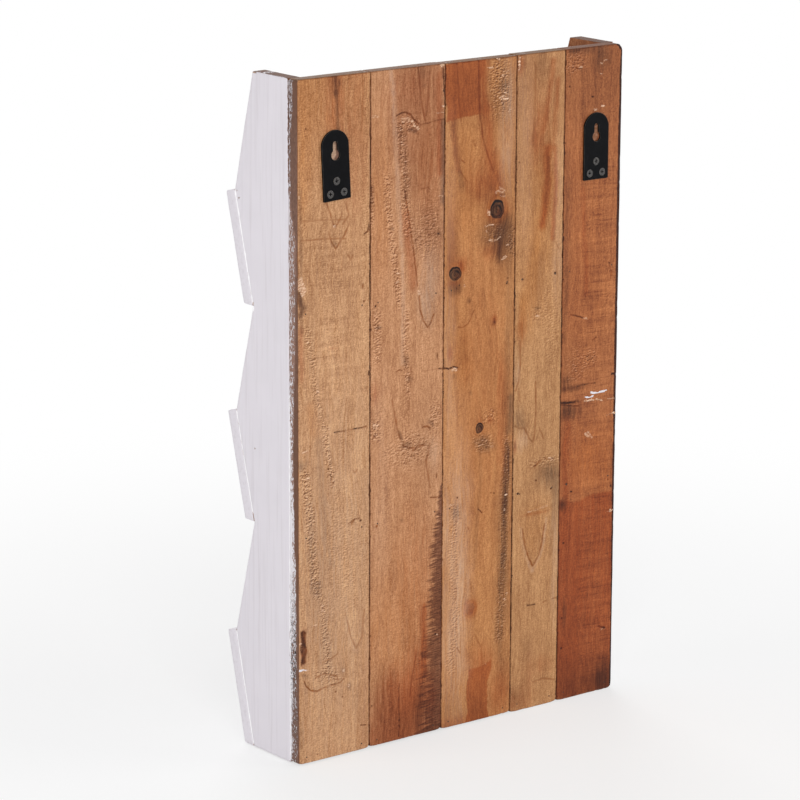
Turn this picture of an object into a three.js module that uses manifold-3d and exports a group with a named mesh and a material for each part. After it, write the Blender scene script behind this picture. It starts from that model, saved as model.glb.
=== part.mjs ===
// Wall newspaper rack knocked together from reclaimed boards. Five upright planks make the back.
// Two side boards with a stepped front edge stand on them, three sloping front boards lie on the
// steps, and a floor behind each front board closes its pocket. Two keyhole plates hang it up.
//
// Millimetres. +X is to the right of someone who faces the rack, -Y points at them, +Z is up.
// Reach is the distance in front of the planks' front faces.

import * as THREE from 'three';
import { mergeVertices } from 'three/addons/utils/BufferGeometryUtils.js';
import Module from 'manifold-3d';

const wasm = await Module();
wasm.setup();

// Driving sizes of the woodwork. The two side boards end at the top with a reach of their own.
const rackWidth = 420;
const rackHeight = 700;
const plankThickness = 15;
const sideThickness = 16;
const frontBoardThickness = 15.5;
const floorThickness = 15;
const rightTopReach = 59;
const leftTopReach = 51.5;
const plankGap = 0.6;
const seatClearance = 0.3;

// Back planks, from the +X side to the -X side. They share the rack's width in proportion to the
// reclaimed boards that they were sawn from. headTrim and footTrim are how much shorter each one
// is than the sides, outerCorner is the round worn on a free top corner.
const planks = [
  { boardWidth: 90, headTrim: 0, footTrim: 1, outerCorner: 2.5, tone: 0xc0905f },
  { boardWidth: 94, headTrim: 0, footTrim: 1.5, outerCorner: 0, tone: 0xbc8660 },
  { boardWidth: 93.5, headTrim: 0.5, footTrim: 1, outerCorner: 0, tone: 0xb87f4f },
  { boardWidth: 64.5, headTrim: 0, footTrim: 0, outerCorner: 0, tone: 0xb88a5e },
  { boardWidth: 78, headTrim: 0, footTrim: 0, outerCorner: 8, tone: 0x9c5a36 },
];

// Tiers, from the floor up. Each front board climbs by rise from its foot to its crest, and the
// underside of the pocket floor lies floorDrop below the foot.
const bottomTier = { name: 'bottom', foot: 0, rise: 119, footReach: 63, crestReach: 92.5, floorDrop: 0 };
const middleTier = { name: 'middle', foot: 240, rise: 112, footReach: 60, crestReach: 90, floorDrop: 9.5 };
const topTier = { name: 'top', foot: 463.5, rise: 114.5, footReach: 60, crestReach: 90, floorDrop: 4 };
const tiers = [bottomTier, middleTier, topTier];

// Eased edges. An arris is the small round that wear leaves along every edge of a board.
const arris = 1;
const floorArris = 0.5;
const crestRound = 2;
const topFrontRound = 3;
const boardLipRound = 2;

// Wire brads that hold the boards together
const brad = { length: 34, shankDiameter: 1.6, headDiameter: 2.4, headHeight: 0.8, pointLength: 2.5 };
const bradSink = 0.3;
const bradEdgeDistance = 10;

// Hanger plates of steel with a keyhole, each over a recess that takes the wall screw's head
const plate = { width: 33, height: 70, thickness: 2, archRise: 13.5, corner: 1 };
const keyhole = { aboveFoot: 45, roundDiameter: 10.5, slotWidth: 6, slotTop: 13.8 };
const recess = { width: 12, depth: 9 };
const screw = { length: 13, headDiameter: 7.6, headHeight: 2.6, rimHeight: 0.3, shankDiameter: 3.6 };
const screwPoint = { length: 4, tipDiameter: 1.26, tipLength: 0.6 };
const driveRecess = { length: 4.4, width: 1.1, depth: 1.5 };
const screwPattern = { upperDrop: 26, lowerDrop: 38, lowerSpacing: 16.8 };

// Each keyhole's place: in from its own edge of the rack and down from the top, with the plate's
// tilt in degrees
const rightHanger = { name: 'right', fromEdge: 45.5, fromTop: 78, tilt: 3 };
const leftHanger = { name: 'left', fromEdge: 36, fromTop: 93.8, tilt: 0 };

// Facets of the round pieces
const bradSides = 8;
const screwSides = 16;
const arrisFacets = 2;
const cornerFacets = 4;
const recessFacets = 8;
const plateFacets = 14;

// A cutting tool reaches this far out of the face that it cuts
const toolMargin = 1;

const innerWidth = rackWidth - 2 * sideThickness;

const boardFront = new THREE.MeshStandardMaterial({ color: 0xd9d4d8, roughness: 0.75, metalness: 0 });
const paintedSide = new THREE.MeshStandardMaterial({ color: 0xdcd7dc, roughness: 0.7, metalness: 0 });
const rawWood = new THREE.MeshStandardMaterial({ color: 0xa9794f, roughness: 0.85, metalness: 0 });
const blackSteel = new THREE.MeshStandardMaterial({ color: 0x17171b, roughness: 0.45, metalness: 0.3 });
const zincSteel = new THREE.MeshStandardMaterial({ color: 0x8f8d8c, roughness: 0.35, metalness: 0.9 });
const dullWire = new THREE.MeshStandardMaterial({ color: 0x5c544e, roughness: 0.5, metalness: 0.8 });

function plankMaterial(tone) {
  return new THREE.MeshStandardMaterial({ color: tone, roughness: 0.85, metalness: 0 });
}

// Closed outline through corners given as [across, up, round]; each round is a smooth curve.
function roundedOutline(corners) {
  const outline = new THREE.Shape();
  corners.forEach(([across, up, round], index) => {
    const corner = new THREE.Vector2(across, up);
    const before = corners[(index + corners.length - 1) % corners.length];
    const after = corners[(index + 1) % corners.length];
    const toBefore = new THREE.Vector2(before[0] - across, before[1] - up).normalize();
    const toAfter = new THREE.Vector2(after[0] - across, after[1] - up).normalize();
    const halfAngle = Math.acos(THREE.MathUtils.clamp(toBefore.dot(toAfter), -1, 1)) / 2;
    const run = round / Math.tan(halfAngle);
    const start = corner.clone().addScaledVector(toBefore, run);
    const end = corner.clone().addScaledVector(toAfter, run);
    if (index === 0) {
      outline.moveTo(start.x, start.y);
    } else {
      outline.lineTo(start.x, start.y);
    }
    if (round > 0) {
      outline.quadraticCurveTo(across, up, end.x, end.y);
    }
  });
  outline.closePath();
  return outline;
}

// Board cut to an outline, with every edge eased; the outline lies in the board's first face and
// the board runs from 0 to its thickness behind it.
function easedBoard(outline, thickness, ease = arris) {
  const geometry = new THREE.ExtrudeGeometry(outline, {
    depth: thickness - 2 * ease,
    bevelEnabled: true,
    bevelThickness: ease,
    bevelSize: ease,
    bevelOffset: -ease,
    bevelSegments: arrisFacets,
    curveSegments: cornerFacets,
  });
  return geometry.translate(0, 0, ease);
}

const right = new THREE.Vector3(1, 0, 0);
const left = new THREE.Vector3(-1, 0, 0);
const front = new THREE.Vector3(0, -1, 0);
const up = new THREE.Vector3(0, 0, 1);

// Outline drawn as width and height, thickness growing towards the front
function facingFront(geometry) {
  return geometry.applyMatrix4(new THREE.Matrix4().makeBasis(right, up, front));
}

// Outline drawn as reach and height, thickness growing towards -X
function facingSide(geometry) {
  return geometry.applyMatrix4(new THREE.Matrix4().makeBasis(front, up, left));
}

function piece(name, geometry, material) {
  const mesh = new THREE.Mesh(geometry, material);
  mesh.name = name;
  return mesh;
}

function toSolid(geometry) {
  const bare = geometry.clone();
  bare.deleteAttribute('normal');
  bare.deleteAttribute('uv');
  const merged = mergeVertices(bare);
  return new wasm.Manifold(new wasm.Mesh({
    numProp: 3,
    vertProperties: merged.attributes.position.array,
    triVerts: new Uint32Array(merged.index.array),
  }));
}

function toGeometry(solid) {
  const mesh = solid.getMesh();
  const geometry = new THREE.BufferGeometry();
  geometry.setAttribute('position', new THREE.BufferAttribute(mesh.vertProperties, 3));
  geometry.setIndex(new THREE.BufferAttribute(mesh.triVerts, 1));
  geometry.computeVertexNormals();
  return geometry;
}

// Cuts tools out of a piece, each tool being a mesh that stands where it cuts.
function carve(target, tools) {
  target.updateWorldMatrix(true, false);
  const toTarget = target.matrixWorld.clone().invert();
  let solid = toSolid(target.geometry);
  tools.forEach((tool) => {
    tool.updateWorldMatrix(true, false);
    const placed = tool.geometry.clone().applyMatrix4(toTarget.clone().multiply(tool.matrixWorld));
    solid = solid.subtract(toSolid(placed));
  });
  target.geometry = toGeometry(solid);
}

// Round pieces are turned about Y, head at 0 and point towards -Y. A hole for one is the same
// profile grown by the seat clearance, and open past its head.
function turned(profile, sides) {
  const points = profile.map(([radius, y]) => new THREE.Vector2(radius, y));
  return new THREE.LatheGeometry(points, sides);
}

function bradGeometry() {
  const head = brad.headDiameter / 2;
  const shank = brad.shankDiameter / 2;
  return turned([
    [0, -brad.length],
    [shank, -brad.length + brad.pointLength],
    [shank, -brad.headHeight],
    [head, -brad.headHeight],
    [head, 0],
    [0, 0],
  ], bradSides);
}

function bradHole() {
  const head = brad.headDiameter / 2 + seatClearance;
  const shank = brad.shankDiameter / 2 + seatClearance;
  const shoulder = -brad.headHeight - seatClearance;
  const mouth = bradSink + toolMargin;
  return turned([
    [0, -brad.length - seatClearance],
    [shank, -brad.length - seatClearance],
    [shank, shoulder],
    [head, shoulder],
    [head, mouth],
    [0, mouth],
  ], bradSides);
}

function screwGeometry() {
  const head = screw.headDiameter / 2;
  const shank = screw.shankDiameter / 2;
  const body = toSolid(turned([
    [0, -screw.length],
    [screwPoint.tipDiameter / 2, -screw.length + screwPoint.tipLength],
    [shank, -screw.length + screwPoint.length],
    [shank, -screw.headHeight],
    [head, -screw.rimHeight],
    [head, 0],
    [0, 0],
  ], screwSides));
  const bladeSizes = [
    [driveRecess.length, driveRecess.width],
    [driveRecess.width, driveRecess.length],
  ];
  const cross = bladeSizes.map(([wide, tall]) => {
    return toSolid(new THREE.BoxGeometry(wide, 2 * driveRecess.depth, tall));
  });
  return toGeometry(body.subtract(cross[0]).subtract(cross[1]));
}

function screwHole() {
  const head = screw.headDiameter / 2 + seatClearance;
  const shank = screw.shankDiameter / 2 + seatClearance;
  return turned([
    [0, -screw.length - seatClearance],
    [shank, -screw.length - seatClearance],
    [shank, -screw.headHeight - seatClearance],
    [head, -screw.rimHeight - seatClearance],
    [head, toolMargin],
    [0, toolMargin],
  ], screwSides);
}

// Direction square to the slope of a tier's front board, as [reach, height] of length 1
function slopeNormal(tier) {
  const run = tier.crestReach - tier.footReach;
  const length = Math.hypot(run, tier.rise);
  return [tier.rise / length, -run / length];
}

// Reach of the slope at a height, moved out square to it
function slopeReach(tier, height, offset = 0) {
  const steepness = (tier.crestReach - tier.footReach) / tier.rise;
  return tier.footReach + (height - tier.foot) * steepness + offset / slopeNormal(tier)[0];
}

const woodwork = new THREE.Group();

function makePlanks() {
  const boardsWidth = planks.reduce((sum, plank) => sum + plank.boardWidth, 0);
  let edge = rackWidth / 2;
  return planks.map((plank, index) => {
    const first = index === 0;
    const last = index === planks.length - 1;
    const plusEdge = edge;
    const minusEdge = edge - (plank.boardWidth * rackWidth) / boardsWidth;
    edge = minusEdge;
    const plusFace = plusEdge - (first ? 0 : plankGap / 2);
    const minusFace = minusEdge + (last ? 0 : plankGap / 2);
    const head = rackHeight - plank.headTrim;
    const outline = roundedOutline([
      [minusFace, plank.footTrim, 0],
      [plusFace, plank.footTrim, 0],
      [plusFace, head, first ? plank.outerCorner : 0],
      [minusFace, head, last ? plank.outerCorner : 0],
    ]);
    const board = facingFront(easedBoard(outline, plankThickness));
    const mesh = piece(`back_plank_${index + 1}`, board, plankMaterial(plank.tone));
    return { mesh, plusEdge, minusEdge };
  });
}

// Side board: straight back edge against the planks, front edge stepped once for each tier
function makeSide(name, outerX, topReach) {
  const corners = [[0, 0, 0]];
  tiers.forEach((tier) => {
    corners.push([tier.footReach, tier.foot, 0]);
    corners.push([tier.crestReach, tier.foot + tier.rise, crestRound]);
  });
  corners.push([topReach, rackHeight, topFrontRound]);
  corners.push([0, rackHeight, 0]);
  const mesh = piece(name, facingSide(easedBoard(roundedOutline(corners), sideThickness)), paintedSide);
  mesh.position.set(outerX, -plankThickness, 0);
  return mesh;
}

// Front board: lies on the slope, square at its crest and sawn level at its foot
function makeFrontBoard(tier) {
  const normal = slopeNormal(tier);
  const crest = tier.foot + tier.rise;
  const inner = seatClearance;
  const outer = seatClearance + frontBoardThickness;
  const outline = roundedOutline([
    [slopeReach(tier, tier.foot, inner), tier.foot, 0],
    [slopeReach(tier, tier.foot, outer), tier.foot, boardLipRound],
    [tier.crestReach + outer * normal[0], crest + outer * normal[1], boardLipRound],
    [tier.crestReach + inner * normal[0], crest + inner * normal[1], 0],
  ]);
  const mesh = piece(`front_board_${tier.name}`, facingSide(easedBoard(outline, rackWidth)), boardFront);
  mesh.position.set(rackWidth / 2, -plankThickness, 0);
  return mesh;
}

// Pocket floor: between the sides, its front edge ripped to the slope of the front board
function makeFloor(tier) {
  const underside = tier.foot - tier.floorDrop;
  const topside = underside + floorThickness;
  const outline = roundedOutline([
    [0, underside, 0],
    [slopeReach(tier, underside, -seatClearance), underside, 0],
    [slopeReach(tier, topside, -seatClearance), topside, 0],
    [0, topside, 0],
  ]);
  const length = innerWidth - 2 * seatClearance;
  const board = facingSide(easedBoard(outline, length, floorArris));
  const mesh = piece(`pocket_floor_${tier.name}`, board, rawWood);
  mesh.position.set(length / 2, -plankThickness, 0);
  return mesh;
}

const backPlanks = makePlanks();
const sides = [
  makeSide('side_board_right', rackWidth / 2, rightTopReach),
  makeSide('side_board_left', -rackWidth / 2 + sideThickness, leftTopReach),
];
const frontBoards = tiers.map(makeFrontBoard);
const floors = tiers.map(makeFloor);

// Brads: two through each plank at each floor, and one through each end of each front board
const bradSteel = bradGeometry();
const bradCut = bradHole();

function makeBrad(name, x, y, z, turn) {
  const mesh = piece(name, bradSteel, dullWire);
  mesh.position.set(x, y, z);
  mesh.rotation.x = turn;
  const hole = new THREE.Mesh(bradCut);
  hole.position.copy(mesh.position);
  hole.rotation.copy(mesh.rotation);
  return { mesh, hole, x };
}

const plankBrads = tiers.flatMap((tier, level) => {
  const height = tier.foot - tier.floorDrop + floorThickness / 2;
  return backPlanks.flatMap(({ plusEdge, minusEdge }, index) => {
    const places = [plusEdge - bradEdgeDistance, minusEdge + bradEdgeDistance];
    return places.map((x, which) => {
      const name = `plank_brad_${tier.name}_${2 * index + which + 1}`;
      return { ...makeBrad(name, x, -bradSink, height, 0), level, plank: index };
    });
  });
});

const frontBrads = tiers.flatMap((tier, level) => {
  const normal = slopeNormal(tier);
  const middle = tier.foot + tier.rise / 2;
  const face = seatClearance + frontBoardThickness - bradSink;
  const y = -plankThickness - slopeReach(tier, middle) - face * normal[0];
  const z = middle + face * normal[1];
  const turn = Math.atan2(normal[1], -normal[0]);
  const x = rackWidth / 2 - sideThickness / 2;
  return [['right', x], ['left', -x]].map(([name, place]) => {
    return { ...makeBrad(`front_brad_${tier.name}_${name}`, place, y, z, turn), level };
  });
});

// Keyhole outline, with the round hole's centre at 0
function keyholePath(path) {
  const radius = keyhole.roundDiameter / 2;
  const half = keyhole.slotWidth / 2;
  const meet = Math.asin(half / radius);
  const slotCentre = keyhole.slotTop - half;
  path.absarc(0, 0, radius, Math.PI / 2 + meet, Math.PI / 2 - meet, false);
  path.absarc(0, slotCentre, half, 0, Math.PI, false);
  path.closePath();
  return path;
}

function plateOutline() {
  const half = plate.width / 2;
  const foot = -keyhole.aboveFoot;
  const top = plate.height - keyhole.aboveFoot;
  const shoulder = top - plate.archRise;
  const archRadius = (half ** 2 + plate.archRise ** 2) / (2 * plate.archRise);
  const reachAngle = Math.asin(half / archRadius);
  const outline = new THREE.Shape();
  outline.moveTo(-half, foot + plate.corner);
  outline.quadraticCurveTo(-half, foot, -half + plate.corner, foot);
  outline.lineTo(half - plate.corner, foot);
  outline.quadraticCurveTo(half, foot, half, foot + plate.corner);
  outline.lineTo(half, shoulder);
  outline.absarc(0, top - archRadius, archRadius, Math.PI / 2 - reachAngle, Math.PI / 2 + reachAngle, false);
  outline.closePath();
  outline.holes.push(keyholePath(new THREE.Path()));
  return outline;
}

// Round-ended recess behind the keyhole, long enough for the screw head to rise under the slot
function recessTool() {
  const half = recess.width / 2;
  const top = keyhole.slotTop - keyhole.slotWidth / 2;
  const outline = new THREE.Shape();
  outline.absarc(0, 0, half, Math.PI, 2 * Math.PI, false);
  outline.absarc(0, top, half, 0, Math.PI, false);
  outline.closePath();
  const geometry = new THREE.ExtrudeGeometry(outline, {
    depth: recess.depth + toolMargin,
    bevelEnabled: false,
    curveSegments: recessFacets,
  });
  return new THREE.Mesh(facingFront(geometry.translate(0, 0, -toolMargin)));
}

// Hanger: its group stands on the planks' back faces at the keyhole's round hole
const screwSteel = screwGeometry();
const screwCut = screwHole();

function makeHanger({ name, fromEdge, fromTop, tilt }, outward) {
  const x = outward * (rackWidth / 2 - fromEdge);
  const group = new THREE.Group();
  group.position.set(x, 0, rackHeight - fromTop);
  group.rotation.y = THREE.MathUtils.degToRad(tilt);
  const blank = new THREE.ExtrudeGeometry(plateOutline(), {
    depth: plate.thickness,
    bevelEnabled: false,
    curveSegments: plateFacets,
  });
  blank.translate(0, 0, -plate.thickness);
  const strap = piece(`hanger_plate_${name}`, facingFront(blank), blackSteel);
  group.add(strap);
  const places = [
    [0, -screwPattern.upperDrop],
    [screwPattern.lowerSpacing / 2, -screwPattern.lowerDrop],
    [-screwPattern.lowerSpacing / 2, -screwPattern.lowerDrop],
  ];
  const holes = places.map(([across, above], index) => {
    const fastener = piece(`hanger_screw_${name}_${index + 1}`, screwSteel, zincSteel);
    fastener.position.set(across, plate.thickness, above);
    group.add(fastener);
    const hole = new THREE.Mesh(screwCut);
    hole.position.copy(fastener.position);
    group.add(hole);
    return hole;
  });
  const pocket = recessTool();
  group.add(pocket);
  carve(strap, holes);
  return { group, x, tools: [...holes, pocket] };
}

const hangerSets = [makeHanger(rightHanger, 1), makeHanger(leftHanger, -1)];

// Holes are cut once everything stands in its place
backPlanks.forEach(({ mesh, plusEdge, minusEdge }, index) => {
  const bradHoles = plankBrads.filter((entry) => entry.plank === index).map((entry) => entry.hole);
  const hanging = hangerSets.filter(({ x }) => {
    return x - plate.width / 2 < plusEdge && x + plate.width / 2 > minusEdge;
  });
  carve(mesh, [...bradHoles, ...hanging.flatMap(({ tools }) => tools)]);
});
floors.forEach((floor, level) => {
  const met = plankBrads.filter((entry) => entry.level === level && Math.abs(entry.x) < innerWidth / 2);
  carve(floor, met.map((entry) => entry.hole));
});
sides.forEach((board, index) => {
  const outward = index === 0 ? 1 : -1;
  const met = [...plankBrads, ...frontBrads].filter((entry) => outward * entry.x > innerWidth / 2);
  carve(board, met.map((entry) => entry.hole));
});
frontBoards.forEach((board, level) => {
  carve(board, frontBrads.filter((entry) => entry.level === level).map((entry) => entry.hole));
});

woodwork.add(...backPlanks.map(({ mesh }) => mesh), ...sides, ...frontBoards, ...floors);
woodwork.add(...plankBrads.map(({ mesh }) => mesh), ...frontBrads.map(({ mesh }) => mesh));
hangerSets.forEach(({ group, tools }) => {
  group.remove(...tools);
  woodwork.add(group);
});

// The origin is the middle of the space that the rack stands in, on the ground
const extent = new THREE.Box3().setFromObject(woodwork, true);
woodwork.position.y = -(extent.min.y + extent.max.y) / 2;

const rack = new THREE.Group();
rack.add(woodwork);

export default rack;
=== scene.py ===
import math

import bmesh
import bpy
import numpy as np
from mathutils import Matrix, Vector


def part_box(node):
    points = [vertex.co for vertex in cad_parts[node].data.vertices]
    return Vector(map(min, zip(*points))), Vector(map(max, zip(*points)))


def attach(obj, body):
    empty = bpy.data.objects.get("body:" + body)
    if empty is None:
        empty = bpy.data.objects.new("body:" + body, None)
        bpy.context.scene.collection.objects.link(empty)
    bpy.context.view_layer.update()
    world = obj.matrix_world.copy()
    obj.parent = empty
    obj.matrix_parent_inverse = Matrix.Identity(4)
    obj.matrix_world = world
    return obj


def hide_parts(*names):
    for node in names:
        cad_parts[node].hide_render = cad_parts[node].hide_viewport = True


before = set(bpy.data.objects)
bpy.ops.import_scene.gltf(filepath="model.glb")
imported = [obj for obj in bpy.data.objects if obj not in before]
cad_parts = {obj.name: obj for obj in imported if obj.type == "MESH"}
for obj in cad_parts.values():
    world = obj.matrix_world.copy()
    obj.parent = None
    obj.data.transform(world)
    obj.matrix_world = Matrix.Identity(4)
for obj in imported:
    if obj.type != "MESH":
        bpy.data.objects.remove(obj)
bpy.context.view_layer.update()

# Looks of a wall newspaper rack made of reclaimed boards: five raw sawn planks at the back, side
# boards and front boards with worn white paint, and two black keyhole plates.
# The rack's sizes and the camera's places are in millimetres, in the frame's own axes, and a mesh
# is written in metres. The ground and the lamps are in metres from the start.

METRE = 1000.0


def node_box(name):
    """Lowest and highest corner of a CAD node, in millimetres"""
    low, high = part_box(name)
    return np.array(low) * METRE, np.array(high) * METRE


PLANK_NODES = [f"back_plank_{number}" for number in range(1, 6)]
TIERS = ("bottom", "middle", "top")
HANDS = (("right", 1), ("left", -1))
PLANK_FRONT = node_box("back_plank_2")[0][1]
RACK_HALF = node_box("back_plank_1")[1][0]
RACK_TOP = node_box("side_board_right")[1][2]

# Front edge of the side boards: reach in front of the planks, and height
SIDE_STEPS = [(63, 0), (92.5, 119), (60, 240), (90, 352), (60, 463.5), (90, 578)]
TOP_REACH = {"right": 59.0, "left": 51.5}
BOARD_SEAT = 0.3
BOARD_THICKNESS = 15.5

# Camera, from a fit of the photograph's outline to the rack's corners. Its roll is in degrees.
CAMERA_EYE = (2273.64, 2851.32, 1233.89)
CAMERA_TARGET = (36.77, 2.85, 344.87)
CAMERA_ROLL = 0.233
CAMERA_LENS = 162.942
SENSOR_WIDTH = 36.0

# A worn arris is at least as round as the narrow strip that each edge starts with
EDGE_STRIP = 0.6
EDGE_SEGMENTS = 2


# Random fields

HASH_STEPS = np.array([12.9898, 78.233, 37.719])
HASH_GAIN = 43758.5453
SEED_STEP = 7.31


def field(points, cell, seed):
    """Smooth random field from -1 to 1 with one random value at each corner of a cell"""
    place = points / np.asarray(cell, float) + SEED_STEP * seed
    corner = np.floor(place)
    part = place - corner
    blend = part * part * (3 - 2 * part)
    total = np.zeros(len(points))
    for offset in np.ndindex(2, 2, 2):
        key = np.sin((corner + offset) @ HASH_STEPS + seed) * HASH_GAIN
        value = 2 * (key - np.floor(key)) - 1
        weight = np.where(np.array(offset) == 1, blend, 1 - blend).prod(axis=1)
        total += weight * value
    return total


def smooth_step(value, start, end):
    part = np.clip((value - start) / (end - start), 0, 1)
    return part * part * (3 - 2 * part)


# Marks that use and sawing left on the wood, painted in these channels of the boards' meshes
CHANNELS = ("stain", "red", "grey", "gold", "pale", "torn", "saw", "paint", "line", "tone",
            "splinter", "flame")
LAYERS = ("tint", "finish", "cut")
LAYER_SIZE = 4

# Marks with a soft border: channel, how deep they lie in mm, softness and strength
SOFT_MARKS = {
    "stain": ("stain", 0.0, 0.9, 0.8),
    "red": ("red", 0.0, 0.95, 0.95),
    "red_block": ("red", 0.0, 0.02, 0.95),
    "grey": ("grey", 0.0, 0.95, 0.9),
    "gold": ("gold", 0.0, 0.95, 0.9),
    "light": ("pale", 0.0, 1.0, 0.3),
    "sap": ("pale", 0.0, 0.9, 0.6),
    "torn": ("torn", 0.0, 0.8, 0.8),
    "saw": ("saw", 0.0, 0.7, 1.0),
    "paint": ("paint", -0.1, 0.3, 1.0),
}

# Marks with a sharp border: channel, how deep they lie in mm, and strength. Their channel holds
# the distance to the border, so that the material can draw it finer than the mesh is.
SHARP_MARKS = {
    "line": ("line", 0.05, 0.7),
    "crack": ("line", 0.5, 1.05),
    "pit": ("line", 0.6, 1.1),
    "pale": ("splinter", -0.3, 0.9),
}
BORDER_REACH = 1.6

# A mark is drawn at least this wide, so that the mesh can hold it
LEAST_SHARP_HALF = 0.55
LEAST_SOFT_HALF = 0.8

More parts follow.
